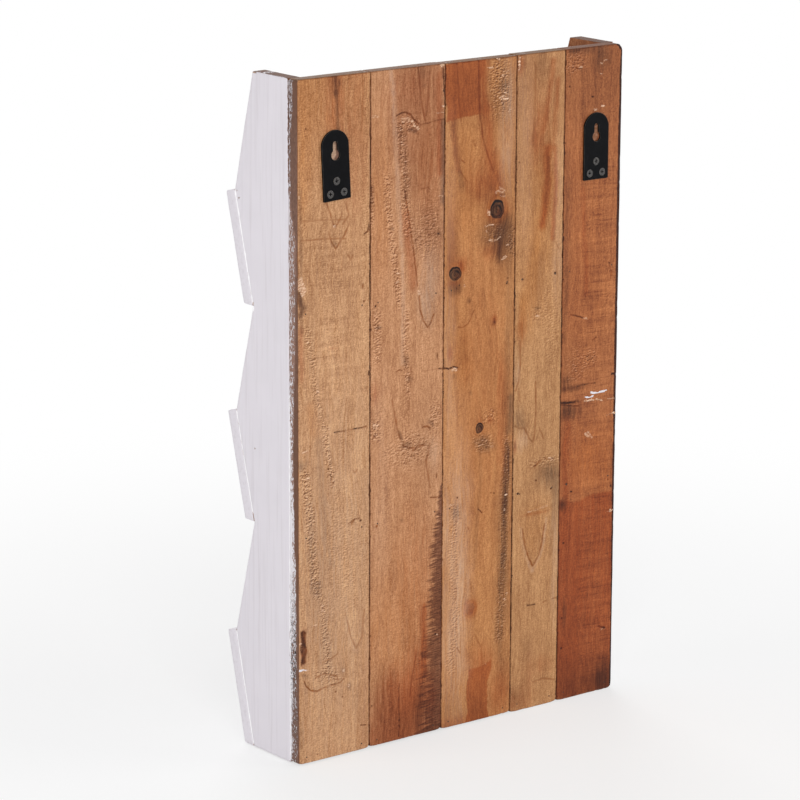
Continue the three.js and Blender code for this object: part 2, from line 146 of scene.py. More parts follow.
# Marks of each plank by kind, in the order that they are painted. Each mark: half width across
# and along the plank, strength, and its path as x, z pairs.
PLANK_MARKS = {
    1: [
        ("red", [
            (10, 40, 0.6, (166, 700), (166, 670)), (40, 90, 0.08, (150, 600)),
            (3, 3, 0.4, (157, 704), (156, 670), (155, 645)), (12, 60, 0.35, (138, 680), (138, 620)),
            (3, 3, 0.5, (206.5, 452), (206, 425), (205.5, 402)), (6, 1.2, 0.5, (166, 428)),
            (3.2, 4, 0.8, (203.5, 139), (203.5, 110)), (6, 50, 0.15, (125, 90), (125, 20)),
        ]),
        ("stain", [
            (70, 90, 0.1, (165, 700)), (9, 60, 0.14, (188, 210), (176, 120)),
            (50, 120, 0.07, (160, 200)), (60, 50, 0.16, (165, 530)), (10, 44, 0.14, (192, 440)),
            (2.2, 2.2, 0.35, (206.5, 590), (206, 520), (205, 450)), (2.5, 26, 0.35, (194, 222)),
            (3.4, 3.4, 0.75, (165, 704), (163, 682)),
            (2, 2, 0.6, (163, 684), (161, 662), (160, 648)), (1.6, 4, 0.7, (158, 692)),
            (3.2, 3, 0.45, (164, 533)),
            (3.2, 3.2, 0.85, (208.5, 488), (206, 480), (202, 473), (207, 467)),
            (4.5, 4.5, 0.22, (184, 335), (181, 300), (178, 265), (173, 235), (169, 205)),
            (5.5, 1, 0.55, (189, 189)), (6, 0.9, 0.6, (187, 184)), (5, 1, 0.5, (185, 177)),
            (6, 8, 0.3, (188, 183)), (2.4, 4, 0.6, (203.5, 139), (203, 124), (203.5, 110)),
            (2.2, 1.4, 0.5, (204, 96), (200, 93)), (3, 3, 0.5, (153, 90)),
            (3.2, 3.2, 0.55, (146.5, 72.5)), (3, 14, 0.4, (207, 30)),
        ]),
        ("gold", [
            (60, 50, 0.5, (165, 692)), (18, 60, 0.4, (192, 680)),
            (7, 40, 0.6, (201, 690), (201, 600)), (5, 5, 0.55, (194, 372), (190, 345)),
        ]),
        ("light", [
            (50, 220, 0.45, (165, 190)), (3, 3, 0.35, (150, 145), (143, 120), (137, 107)),
        ]),
        ("grey", [
            (50, 200, 0.05, (165, 150)), (6, 5, 0.6, (206, 314)),
        ]),
        ("pit", [
            (0.9, 0.9, 0.7, (199, 651)), (1.2, 2.4, 0.8, (129, 486)), (1.1, 1.1, 0.9, (128, 471)),
            (0.9, 1.3, 0.8, (172.5, 305)), (0.9, 1.1, 0.7, (169.5, 298)),
            (1.2, 0.8, 0.7, (166, 290)), (1.6, 1.1, 0.9, (131.5, 245)), (1.1, 0.8, 0.6, (163, 70)),
            (1, 0.8, 0.6, (154.5, 63)), (0.9, 0.9, 0.7, (186, 8)),
        ]),
        ("line", [
            (0.8, 0.8, 0.5, (176, 578), (170, 564), (166, 553), (163, 550), (159, 556), (155, 563)),
            (0.9, 0.9, 0.55, (172, 546), (168, 535), (163, 528), (158, 534), (152, 541),
             (146, 552)), (1, 1, 0.4, (150, 572), (147, 560), (154, 552)),
            (0.7, 0.7, 0.45, (206, 541), (180, 540), (150, 537)),
            (0.7, 0.7, 0.3, (205, 560), (180, 559), (150, 556)),
            (1, 1, 0.45, (148, 520), (144, 515), (142, 519)),
            (0.5, 0.5, 0.45, (152, 341.4), (141, 341.8)), (0.8, 0.8, 0.6, (143, 243), (139, 248)),
            (0.7, 0.7, 0.45, (142, 300), (139, 296), (136, 299)),
            (0.7, 0.7, 0.4, (139, 285), (135, 287)),
            (2.6, 3, 0.8, (203.5, 139), (203, 124), (203.5, 110)),
            (0.7, 0.7, 1.2, (206.6, 141), (205.6, 132), (206.9, 124), (205.4, 113), (206.4, 106)),
            (0.6, 0.6, 1.2, (200.6, 139), (201.8, 130), (200, 121), (201.4, 112), (200.8, 108)),
            (0.7, 0.7, 0.6, (183, 76), (177, 77.5), (170, 78), (163, 77.5), (157, 79), (153, 82)),
            (0.9, 0.9, 0.45, (188, 90), (178, 92), (170, 89), (162, 86), (160, 81)),
            (0.8, 0.8, 0.4, (180, 104), (172, 106), (165, 108), (161, 110)),
            (1, 1, 0.35, (151, 152), (144, 124), (137, 111), (130, 122), (127, 150)),
        ]),
        ("pale", [
            (1.8, 1.1, 0.8, (164, 551)), (1.1, 1.1, 1, (207.5, 584)),
            (3.2, 3.6, 0.8, (206, 501), (202, 492)), (2.2, 2.6, 0.9, (208, 494), (203, 487)),
            (2.6, 0.9, 0.8, (186, 387)), (1.6, 0.8, 0.7, (172, 347)), (3.4, 1.1, 0.9, (203, 327.5)),
            (1, 0.7, 0.8, (198, 438.5)), (3.6, 0.8, 0.8, (197, 299.5)), (2.2, 0.9, 0.8, (199, 280)),
            (2.8, 0.7, 0.7, (194, 273)), (2.2, 0.7, 0.7, (194, 240)),
            (2.4, 0.9, 0.95, (180, 164.5)), (2.6, 1.2, 1, (178.5, 158.5)),
            (2, 0.8, 0.8, (190, 145)), (1.4, 1, 0.8, (208, 129)),
            (0.7, 0.7, 0.7, (204, 100.5), (197, 99.5)), (1.7, 1.5, 1, (153, 90.5)),
            (1.8, 1.8, 1, (147, 73)),
        ]),
        ("crack", [
            (0.8, 0.8, 0.8, (121.5, 549), (122.5, 541), (127, 539)),
            (0.55, 0.55, 0.95, (165, 341.6), (158, 341.9), (152, 341.4)),
            (0.6, 0.6, 0.95, (140, 341.9), (132, 341.4), (124, 341.8)),
            (0.6, 0.6, 0.7, (147, 244), (141, 247.5), (133, 248)),
            (0.9, 0.9, 0.8, (121.5, 398), (122, 394)),
            (0.8, 0.8, 0.6, (203, 89), (200, 82.5), (195, 78), (187, 75), (183, 76)),
            (0.6, 0.6, 0.7, (131, 27.5), (124, 26)),
        ]),
        ("saw", [
            (45, 34, 0.9, (165, 512)), (40, 45, 1, (176, 425)),
        ]),
        ("torn", [
            (3.5, 3.5, 0.6, (199, 452), (194, 428), (190, 412), (189, 395), (184, 372),
             (179, 352), (175, 330), (172, 306), (167, 289)),
            (5, 5, 1.2, (201, 306), (198, 280), (195, 255), (192, 225), (190, 200), (187, 176)),
            (2.2, 2.2, 0.9, (176, 348), (172, 320), (168, 298)), (26, 60, 0.25, (150, 210)),
            (4.2, 4.2, 1, (180, 168), (178, 150), (176, 128), (174, 112), (173, 93)),
            (12, 6, 0.6, (177, 92), (170, 82)),
        ]),
        ("paint", [
            (1.5, 1, 1, (208.5, 101.5), (204.5, 101)), (1, 0.6, 1, (204.5, 101), (200.5, 100.2)),
        ]),
    ],
    2: [
        ("red", [
            (24, 60, 0.2, (56, 170)), (24, 50, 0.35, (72, 640)), (18, 90, 0.35, (44, 600)),
            (28, 24, 0.5, (62, 682)), (4, 4, 0.75, (33, 690), (33, 640), (32, 590)),
            (4.5, 4.5, 0.6, (76, 552), (72, 525), (68, 500), (65, 478)), (6, 9, 0.5, (113, 374)),
            (3.8, 3.8, 0.75, (50, 138), (49, 110), (49, 84), (51, 64)),
            (34, 22, 1, (80, 32), (66, 36)), (50, 18, 1, (80, 8)),
            (14, 30, 0.8, (58, 66), (64, 40)), (16, 20, 0.7, (90, 58)),
        ]),
        ("stain", [
            (60, 120, 0.17, (50, 700)), (22, 120, 0.12, (38, 640)), (14, 50, 0.14, (46, 310)),
            (14, 26, 0.28, (104, 54)), (24, 40, 0.1, (72, 640)),
            (3.2, 1.8, 0.75, (69, 638), (65, 636)), (5.5, 9, 0.35, (54, 694)),
            (2.2, 2, 0.4, (52, 680)), (5, 5, 0.3, (81, 640), (77, 600), (75, 570)),
            (2.4, 1.4, 0.6, (92, 540)), (18, 22, 0.28, (48, 532)), (3.5, 3.5, 0.4, (33, 528)),
            (1.6, 14, 0.5, (118.5, 570)), (3.6, 1.3, 0.8, (109, 441.5)), (3.4, 5.5, 0.6, (75, 402)),
            (3.6, 2.2, 0.55, (71, 383)), (1.5, 1.5, 0.5, (83, 330), (79, 321)),
            (6, 3, 0.55, (73, 314)), (2, 2, 0.5, (43, 334), (39, 331)), (22, 12, 0.16, (64, 304)),
            (1.6, 1.6, 0.6, (79, 236)), (1.2, 1.2, 0.5, (42, 259)), (3.6, 3.4, 0.65, (51, 88)),
            (2.2, 1, 0.5, (48, 102)), (26, 12, 0.16, (44, 4)), (6, 24, 0.6, (54, 28)),
            (40, 26, 0.36, (74, 18)), (16, 14, 0.2, (95, 8)),
        ]),
        ("gold", [
            (50, 50, 0.35, (80, 130), (80, 70)), (26, 70, 0.35, (66, 190), (60, 120)),
            (12, 60, 0.5, (108, 600), (108, 560)), (12, 60, 0.2, (106, 320), (106, 120)),
            (15, 50, 0.45, (48, 610)), (34, 60, 0.25, (72, 100)),
        ]),
        ("light", [
            (10, 60, 0.3, (106, 320), (106, 240)),
            (2.4, 2.4, 0.55, (94, 700), (90, 660), (88, 610), (84, 565), (80, 520), (78, 475),
             (78, 430), (79, 400)), (10, 20, 0.45, (43, 488), (46, 460)), (6, 14, 0.4, (36, 300)),
        ]),
        ("grey", [
            (3, 3, 0.7, (28, 640), (28, 560)), (10, 20, 0.3, (43, 492), (46, 458)),
        ]),
        ("crack", [
            (0.8, 0.8, 0.75, (87, 653), (81, 655.5), (75, 655)),
            (1, 1, 0.6, (75, 655), (69, 652), (64, 646), (60, 643)),
            (0.45, 0.45, 0.6, (58, 641), (45, 642), (36, 643.5), (27, 644)),
            (0.6, 0.6, 0.5, (94, 590), (89, 592)), (0.6, 0.6, 0.5, (83, 591), (72, 592)),
            (0.9, 0.9, 0.9, (29.5, 700), (28, 688), (26.8, 672)),
            (0.6, 0.6, 0.7, (87, 391.5), (83, 394), (79, 393)),
            (0.8, 0.8, 0.9, (31, 388), (25, 387)),
            (0.8, 0.8, 0.55, (78, 315), (70, 311), (64, 310), (57, 312), (50, 311)),
            (0.6, 0.6, 0.5, (66, 307), (60, 309), (54, 310), (49, 312)),
            (0.9, 0.9, 0.65, (52, 330), (46, 330), (42, 327)),
            (0.7, 0.7, 0.6, (42, 254), (33, 253.5), (27, 254)),
            (0.55, 0.55, 0.7, (81, 62), (81.5, 40), (81, 22), (81.5, 5)),
        ]),
        ("pale", [
            (5.5, 2.6, 0.45, (76, 648)), (1.5, 1.5, 0.6, (68, 646), (65, 641), (60, 638)),
            (2.2, 1, 0.9, (85.5, 494)), (2, 0.9, 0.7, (86, 484.5)), (1.4, 3, 0.7, (58, 470)),
            (3.4, 0.9, 0.7, (115, 655)), (1.8, 0.9, 1, (28, 657)), (4, 0.5, 0.7, (31, 566)),
            (5, 0.5, 0.45, (34, 651)), (2.4, 1.6, 0.8, (30, 698)), (3.6, 2.6, 0.45, (113, 340)),
            (2.4, 1.6, 0.5, (113, 331)), (0.9, 0.7, 0.9, (78, 17)), (0.8, 0.8, 0.9, (32, 106)),
        ]),
        ("torn", [
            (12, 7, 0.7, (74, 644)),
            (5, 5, 0.75, (82, 640), (79, 612), (77, 590), (75, 560), (73, 535)),
            (4, 4, 0.7, (99, 592), (97, 565), (94, 540), (90, 515), (87, 490), (83, 462)),
            (16, 24, 0.55, (50, 532)), (2.4, 20, 0.8, (118, 565)),
            (4, 4, 0.7, (112, 458), (110, 435), (111, 408)), (6, 6, 0.95, (113, 340), (113, 331)),
            (3, 3, 0.6, (73, 455), (75, 425), (74, 395), (71, 365)), (6, 14, 0.85, (35, 338)),
            (26, 14, 0.7, (66, 308)),
        ]),
        ("line", [
            (1.1, 1.1, 0.5, (61, 700), (58, 680), (55, 660), (52, 645)),
            (0.9, 0.9, 0.45, (46, 694), (47, 670), (50, 650)),
            (0.7, 0.7, 0.5, (56, 576), (48, 577), (44, 574)),
            (0.8, 0.8, 0.75, (77, 578), (72, 552), (67, 526), (63, 500), (60, 478)),
            (0.8, 0.8, 0.8, (58, 470), (56, 452), (52, 441), (46, 433), (42, 439), (38, 446)),
            (0.5, 0.5, 0.3, (50, 388), (31, 388)),
            (1.1, 1.1, 0.5, (92, 364), (88, 346), (85, 334), (81, 322)),
            (1, 1, 0.5, (43, 312), (45, 300), (48, 294), (45, 281), (42, 265)),
            (0.9, 0.9, 0.5, (59, 92), (62, 77), (65, 62), (67, 46)),
        ]),
        ("pit", [
            (1.4, 1.1, 0.95, (33, 528)), (1.2, 1.2, 0.9, (113, 463)), (0.9, 3.2, 0.95, (33.5, 401)),
            (0.9, 2.6, 0.95, (33.5, 276)), (1.3, 1.5, 0.75, (111, 235)), (1.5, 1.3, 0.9, (81, 22)),
            (1.1, 1.1, 0.9, (81, 16)), (1.1, 1.1, 0.9, (34, 107)), (0.9, 1.2, 0.7, (117, 45)),
        ]),
    ],
    3: [
        ("red", [
            (8, 50, 0.45, (15, 500)), (34, 130, 0.25, (-26, 400), (-26, 330)),
            (20, 12, 0.5, (-26, 570)), (4, 7, 0.8, (2, 491)), (9, 2.6, 0.6, (13, 474.5)),
        ]),
        ("red_block", [
            (24, 29, 1, (1, 672)), (15.5, 60, 0.95, (-24, 2)),
        ]),
        ("red", [
            (5, 5, 0.95, (-23, 700), (-24, 670), (-27, 648)),
            (8, 8, 0.75, (-27, 646), (-32, 612), (-39, 585), (-44, 568)),
            (20, 18, 0.45, (-30, 582)), (3.4, 3.4, 0.6, (15, 642), (12, 612), (9, 590)),
            (13, 15, 0.6, (-44, 541)), (12, 9, 0.6, (-38, 503)), (10, 9, 0.5, (5, 491)),
            (3.6, 5, 0.9, (-40, 429)), (2.8, 7, 0.8, (17, 402)),
            (6, 44, 0.5, (-52, 350), (-54, 300)), (4, 3, 0.6, (-36, 324)), (8, 8, 0.85, (-12, 125)),
            (15, 16, 0.6, (-26, 66)), (12, 22, 0.6, (-54, 26)), (20, 7, 0.6, (10, 3)),
        ]),
        ("stain", [
            (50, 120, 0.12, (-20, 700)), (18, 60, 0.2, (-54, 550)), (14, 26, 0.3, (12, 8)),
            (8, 50, 0.35, (15, 490)), (9, 9, 0.35, (13, 476)), (12, 16, 0.25, (-56, 492)),
            (13, 30, 0.45, (-51, 664)), (14, 26, 0.16, (-24, 655)), (24, 18, 0.2, (-27, 564)),
            (7, 4, 0.5, (10, 467)), (24, 29, 0.1, (1, 672)),
            (3.4, 3.4, 0.35, (14, 640), (12, 612), (8, 590), (3, 570)),
            (1, 1, 0.45, (-42, 558.8), (-47, 559), (-53, 558.5)), (17, 15, 0.6, (-38, 520)),
            (10, 10, 0.5, (-56, 526), (-54, 514), (-49, 498)), (4, 14, 0.35, (-63, 508)),
            (9, 6, 0.25, (10, 470)), (2.6, 2.6, 0.55, (-7, 454)), (2.2, 2.6, 0.75, (-40, 427)),
            (6, 16, 0.25, (-1, 400)), (2.2, 2.6, 0.6, (11, 377)), (1.8, 5, 0.6, (24.5, 392)),
            (3.2, 26, 0.3, (-55, 330)), (1.4, 2.4, 0.6, (-10, 356)),
            (4.2, 4.2, 0.75, (-61, 295), (-60, 275), (-59, 250), (-58, 225)),
            (4, 4, 0.42, (-58, 232), (-57, 205), (-56, 180), (-55, 160), (-54, 140)),
            (5, 5, 0.22, (-53, 130), (-52, 90)), (5.5, 7, 0.6, (8, 233)),
            (2.2, 2.2, 0.28, (-23, 300), (-25, 270), (-22, 235), (-19, 205), (-18, 170)),
            (15, 24, 0.35, (-25, 10)),
        ]),
        ("sap", [
            (17, 110, 0.42, (9, 180), (9, 150)),
        ]),
        ("pit", [
            (0.9, 0.9, 0.8, (5.7, 471)), (0.8, 0.8, 0.7, (9.3, 468.8)),
            (1.2, 0.9, 0.9, (-58.5, 470.5)), (1.1, 0.8, 0.9, (-57.5, 465.5)),
            (1.1, 1, 0.8, (6, 248)), (1, 0.8, 0.8, (-39, 246)), (0.9, 0.8, 0.7, (-43, 245)),
            (0.9, 1.6, 0.5, (-9, 213)),
        ]),
        ("grey", [
            (5, 90, 0.4, (-61, 400)), (9, 40, 0.4, (-56, 220), (-55, 90)),
            (4.5, 6, 0.7, (-50, 671)), (15, 13, 0.3, (-38, 520)),
            (8, 8, 0.4, (-55, 528), (-54, 516), (-49, 500)), (9, 5, 0.75, (-26, 304), (-33, 297)),
            (3.4, 3.4, 0.7, (-64, 345), (-63, 325), (-62, 308)),
            (4.6, 4.6, 0.2, (-60, 290), (-59, 240), (-56, 190), (-54, 140)),
        ]),
        ("gold", [
            (20, 40, 0.35, (-4, 600), (-6, 560)), (8, 20, 0.6, (0, 405), (-2, 390)),
        ]),
        ("line", [
            (0.9, 0.9, 0.55, (-17, 700), (-18, 660), (-20, 640), (-25, 615), (-32, 596),
             (-37, 585)), (0.8, 0.8, 0.4, (11, 700), (8, 660), (5, 640)),
            (0.7, 0.7, 0.55, (5, 600), (0, 597)), (0.7, 0.7, 0.55, (5, 588), (0, 581), (-4, 576)),
            (0.7, 0.7, 0.5, (-9, 618), (-13, 619)), (1.2, 1.2, 0.5, (-12, 615), (-14, 613)),
            (0.6, 0.6, 0.75, (7, 428), (0, 427), (-6, 430), (-10, 436), (-14, 443)),
            (0.9, 0.9, 0.4, (-19, 96), (-23, 87), (-27, 81)), (0.8, 0.8, 0.5, (5, 86), (1, 80)),
        ]),
        ("light", [
            (9, 40, 0.2, (21, 600), (20, 540)), (8, 40, 0.55, (-58, 650), (-56, 610)),
            (7, 30, 0.35, (20, 440), (18, 350)),
            (4.5, 4.5, 0.25, (-1, 228), (1, 170), (2, 110), (-1, 66)),
        ]),
        ("torn", [
            (11, 22, 1, (-46, 682), (-48, 664)), (12, 9, 0.35, (-39, 520)),
            (5, 14, 0.8, (-63, 508)), (9, 7, 0.6, (-38, 327)), (12, 8, 0.8, (-27, 302)),
            (5.5, 5.5, 0.42, (-60, 300), (-59, 260), (-57, 215), (-55, 170), (-54, 130)),
            (6.5, 6.5, 0.6, (-53, 128), (-53, 90)),
            (6, 6, 0.6, (9, 236), (10, 200), (11, 168), (9, 130), (9, 100), (13, 66)),
        ]),
        ("pale", [
            (2.8, 0.9, 0.9, (-33, 690)), (2.2, 1, 0.9, (-42, 698)), (3, 0.9, 0.95, (-49, 681)),
            (3.4, 1, 0.95, (-48, 659), (-52, 657)), (2.4, 0.9, 0.9, (-53, 663)),
            (2, 0.8, 0.8, (-55, 684)), (1.6, 0.8, 0.9, (-58, 644.5)),
            (1.2, 1.2, 0.42, (-41, 561.5), (-45, 563), (-50, 561)),
            (0.8, 0.8, 0.42, (-46, 566.5), (-50, 564.5), (-53, 562)),
            (0.7, 0.7, 0.35, (-47, 557.5), (-53, 556)), (1, 2.4, 0.5, (-30.5, 543), (-33, 540.5)),
            (0.6, 0.6, 0.85, (-26.5, 527.6), (-32, 529), (-38, 529)), (1.2, 0.8, 0.7, (-29.5, 523)),
            (0.7, 0.7, 0.8, (-33, 514), (-38, 512.3), (-43, 512.6), (-48, 515)),
            (1.9, 1.2, 0.9, (-55, 493.5), (-52, 492)), (1.5, 1, 0.7, (-58, 505.3)),
            (1.4, 1.1, 0.7, (-1, 470)), (3.4, 1.8, 0.7, (11, 383.5)), (2.6, 0.8, 0.4, (-40, 295)),
            (2.4, 1, 0.9, (-60, 240.5)), (1.6, 1.4, 0.7, (-57, 225)),
            (1.2, 1.1, 0.8, (-58.5, 127.5)), (1.3, 1, 0.6, (-61, 133)), (3, 0.7, 0.85, (15, 241.5)),
            (1.5, 0.8, 0.4, (-33, 60)),
        ]),
        ("crack", [
            (0.9, 0.9, 0.9, (26, 387), (18, 386), (12, 387), (7, 385.5)),
            (0.8, 0.8, 0.7, (-22, 231), (-27, 226.5)),
        ]),
    ],
    4: [
        ("red", [
            (30, 60, 0.3, (-98, 655)), (10, 24, 0.7, (-98, 615)),
            (3, 3, 0.7, (-116, 690), (-112, 665), (-108, 640), (-104, 620)),
            (3, 3, 0.6, (-122, 670), (-121, 655), (-119, 620), (-118, 600)),
            (4.6, 4.6, 0.95, (-110, 600), (-110, 565), (-107, 535), (-103, 520)),
            (2.8, 2.8, 0.85, (-120, 600), (-121, 565), (-120, 535), (-118, 505)),
            (5, 16, 0.5, (-77, 415)), (4.5, 9, 0.9, (-73, 690)), (2, 7, 0.7, (-70.5, 291)),
            (10, 1.2, 0.55, (-92, 214), (-106, 213)), (8, 26, 0.3, (-92, 38)),
            (12, 10, 0.4, (-112, 44)), (16, 14, 0.5, (-78, 10)),
        ]),
        ("stain", [
            (36, 120, 0.17, (-100, 700)), (34, 90, 0.1, (-100, 300)), (6, 14, 0.32, (-102, 688)),
            (2.4, 2.4, 0.3, (-111, 590), (-111, 572), (-109, 552), (-108, 540)),
            (3.4, 1.6, 0.7, (-99, 433.5)), (7, 4, 0.25, (-76, 313)), (1.4, 3, 0.5, (-70.5, 291)),
            (13, 9, 0.4, (-119, 257)), (7, 13, 0.2, (-90, 66)), (7, 22, 0.15, (-92, 36)),
            (10, 12, 0.3, (-78, 16)),
        ]),
        ("gold", [
            (40, 90, 0.3, (-98, 540)), (12, 50, 0.5, (-109, 560)), (22, 80, 0.4, (-90, 530)),
            (4.6, 4.6, 0.9, (-110, 600), (-110, 565), (-107, 535), (-103, 520)),
            (7, 30, 0.5, (-96, 505), (-93, 470), (-87, 445)), (6, 14, 0.9, (-78, 440), (-77, 418)),
            (18, 4, 0.4, (-102, 216)), (14, 30, 0.4, (-97, 195)),
        ]),
        ("light", [
            (9, 60, 0.3, (-80, 620), (-80, 560)), (6, 40, 0.4, (-126, 560), (-126, 480)),
            (4, 14, 0.5, (-71, 372)), (7, 9, 0.55, (-79, 295)),
            (1.8, 1.8, 0.45, (-80, 200), (-82, 184), (-87, 167), (-96, 151)),
            (1.8, 1.8, 0.45, (-96, 151), (-107, 166), (-111, 180), (-114, 205)),
            (4, 40, 0.5, (-127, 170), (-127, 130)),
        ]),
        ("line", [
            (1.6, 1.6, 0.3, (-92, 690), (-92, 650), (-90, 605)),
            (1, 1, 0.5, (-76, 402), (-76, 372), (-73, 357), (-70, 350)),
            (0.8, 0.8, 0.5, (-74, 352), (-76, 338)),
            (1, 1, 0.5, (-70, 312), (-76, 309), (-82, 309), (-86, 303), (-90, 295), (-95, 291),
             (-97, 300), (-98, 330), (-97, 355)),
            (0.7, 0.7, 0.6, (-103, 306), (-106, 300), (-109, 293)),
            (0.6, 0.6, 0.4, (-99, 293), (-104, 304)),
            (1, 1, 0.6, (-97, 265), (-101, 267), (-106, 270)),
            (0.9, 0.9, 0.65, (-82, 200), (-84, 186), (-89, 170), (-97, 156), (-104, 166),
             (-109, 181), (-112, 200)), (0.9, 0.9, 0.5, (-84, 190), (-86, 184)),
            (0.7, 0.7, 0.6, (-112, 114), (-117, 115.5)),
            (0.9, 0.9, 0.4, (-99, 28), (-112, 29), (-129, 25)),
            (0.7, 0.7, 0.35, (-70, 20), (-74, 14)),
        ]),
        ("pit", [
            (1.4, 0.9, 0.95, (-78, 466.5)), (1.2, 0.9, 0.9, (-122, 468)),
            (0.9, 0.7, 0.7, (-72, 589.5)), (1.4, 1.2, 0.6, (-100, 249)),
            (1.3, 1.2, 0.95, (-75, 239)), (1.4, 1, 0.95, (-120.5, 237)),
        ]),
        ("pale", [
            (1.3, 6.5, 1, (-70.2, 691)), (3, 1, 0.55, (-98, 426)), (2.6, 1.2, 0.9, (-119.5, 269.8)),
            (0.8, 0.8, 0.35, (-90, 216.5), (-103, 217.5), (-116, 219)),
        ]),
        ("crack", [
            (0.6, 0.6, 0.35, (-122, 501), (-126, 493)),
            (0.6, 0.6, 0.5, (-110, 272), (-116, 270), (-122, 270)),
            (0.6, 0.6, 0.85, (-89, 114.5), (-94, 113.7), (-101, 114)),
            (0.6, 0.6, 0.7, (-125, 115.5), (-130, 115.5)),
        ]),
        ("torn", [
            (9, 9, 0.25, (-98, 430)), (10, 30, 0.25, (-114, 430), (-120, 400)),
            (20, 5, 0.6, (-112, 268)),
        ]),
        ("grey", [
            (9, 12, 0.35, (-74, 318)), (14, 14, 0.5, (-120, 248)), (5, 30, 0.5, (-127, 230)),
            (3, 20, 0.2, (-122, 190)),
        ]),
    ],
    5: [
        ("red", [
            (3, 3, 0.45, (-158, 552), (-160, 510), (-164, 470), (-164, 440)),
            (5, 40, 0.6, (-141, 280), (-141, 245)),
        ]),
        ("red_block", [
            (60, 109.5, 0.82, (-170, 109.5)),
        ]),
        ("red", [
            (17, 60, 0.5, (-150, 150), (-150, 60)),
        ]),
        ("stain", [
            (40, 50, 0.28, (-150, 690)), (5, 2, 0.75, (-141, 698), (-148, 698)),
            (8, 12, 0.3, (-184, 684)),
            (3.4, 3.4, 0.3, (-136, 590), (-137, 540), (-136, 490), (-137, 440), (-136, 395)),
            (12, 26, 0.25, (-142, 368)), (40, 50, 0.08, (-170, 370)), (4, 3.4, 0.35, (-170, 372)),
            (8, 5, 0.65, (-139, 350)), (11, 3, 0.8, (-136, 342), (-150, 341)),
            (13, 1.4, 0.95, (-134, 327), (-146, 326.5)), (10, 7, 0.6, (-141, 317)),
            (2.2, 6, 0.55, (-160, 316)), (4.5, 5, 0.5, (-136, 215)), (50, 40, 0.14, (-170, 660)),
            (44, 28, 0.45, (-172, 6)), (10, 16, 0.5, (-199, 14)),
        ]),
        ("grey", [
            (10, 12, 0.55, (-182, 687)), (14, 4, 0.4, (-150, 698), (-172, 698)),
            (5, 5, 0.15, (-138, 560), (-138, 500), (-138, 440)), (10, 7, 0.7, (-142, 316)),
            (5.5, 5.5, 0.7, (-137, 216)), (2.4, 16, 0.7, (-141.5, 96)), (44, 60, 0.15, (-172, 6)),
            (12, 18, 0.6, (-198, 14)),
        ]),
        ("torn", [
            (12, 10, 0.6, (-146, 686)), (9, 8, 0.7, (-172, 371)), (12, 16, 0.5, (-154, 366)),
        ]),
        ("pale", [
            (2.2, 0.9, 0.95, (-153, 680)), (2.2, 0.6, 0.8, (-185, 684.3)),
            (1.4, 0.6, 0.8, (-180.5, 681.3)), (1.4, 0.8, 0.9, (-180.5, 670.5)),
            (2.4, 0.9, 0.9, (-183.5, 637)), (3.6, 0.9, 0.8, (-173, 634.5)),
            (2.2, 0.9, 0.8, (-165, 414.5)), (5, 0.8, 0.9, (-169, 325), (-176, 324.7)),
            (0.7, 0.7, 0.9, (-181, 325), (-186, 323.4), (-190, 321.8)),
            (0.5, 0.5, 0.4, (-198, 323), (-207, 322)),
            (1.1, 1.1, 0.6, (-167, 290), (-170, 286.5), (-172.5, 284.5)),
            (1, 1, 0.6, (-171, 290.5), (-174, 287), (-176.5, 284)),
            (0.6, 0.6, 0.35, (-197, 305), (-203, 306.5), (-209, 305.5)), (3, 0.9, 0.9, (-204, 199)),
            (3, 0.5, 0.5, (-196, 68)),
        ]),
        ("crack", [
            (0.7, 0.7, 0.8, (-146, 680), (-150, 678.5), (-154, 679)),
            (0.7, 0.7, 0.75, (-144, 421), (-150, 419.5), (-158, 416.5), (-162, 415)),
            (0.6, 0.6, 0.8, (-175, 389.5), (-180, 392)),
            (0.55, 0.55, 0.9, (-155, 342.5), (-166, 342.8), (-180, 342.6)),
            (0.8, 0.8, 0.95, (-133, 327), (-145, 326.5), (-152, 326)),
            (0.6, 0.6, 0.9, (-133, 325), (-147, 322.5), (-158, 321)),
            (1.1, 1.1, 0.9, (-203, 349), (-210, 348)),
            (1, 1, 0.9, (-190, 72), (-194, 70.5), (-199, 69)),
        ]),
        ("pit", [
            (1.1, 0.8, 0.7, (-138, 661)), (1.8, 1, 0.8, (-170, 648)), (1.3, 1, 0.7, (-197, 469.5)),
            (1.1, 1, 0.8, (-142, 238)), (1.2, 1, 0.6, (-200, 234)), (1.4, 1.1, 0.95, (-149, 229)),
            (1.2, 1.4, 0.7, (-204.5, 226)), (1.4, 1.1, 0.85, (-139, 174)),
            (1.2, 1.1, 0.8, (-138, 91)), (1.3, 1.1, 0.8, (-138.5, 58)),
        ]),
        ("line", [
            (0.5, 0.5, 0.7, (-197.5, 467), (-198.5, 453)),
            (0.4, 0.4, 0.5, (-200, 462), (-200.5, 455)),
        ]),
        ("gold", [
            (30, 60, 0.3, (-165, 520), (-165, 440)), (44, 36, 0.7, (-170, 262)),
            (20, 50, 0.35, (-194, 190)),
        ]),
        ("saw", [
            (26, 60, 1, (-182, 545), (-182, 420)), (30, 50, 0.9, (-178, 350), (-178, 260)),
            (24, 90, 1.6, (-186, 200), (-186, 110)),
        ]),
        ("paint", [
            (0.9, 0.9, 1, (-174, 332.6), (-182, 331.6), (-188, 331.8), (-196, 332.4)),
            (0.8, 0.8, 0.9, (-166, 329), (-172, 328.2), (-178, 329.2)),
            (2.6, 0.9, 0.9, (-209.5, 322.5)),
        ]),
    ],
}

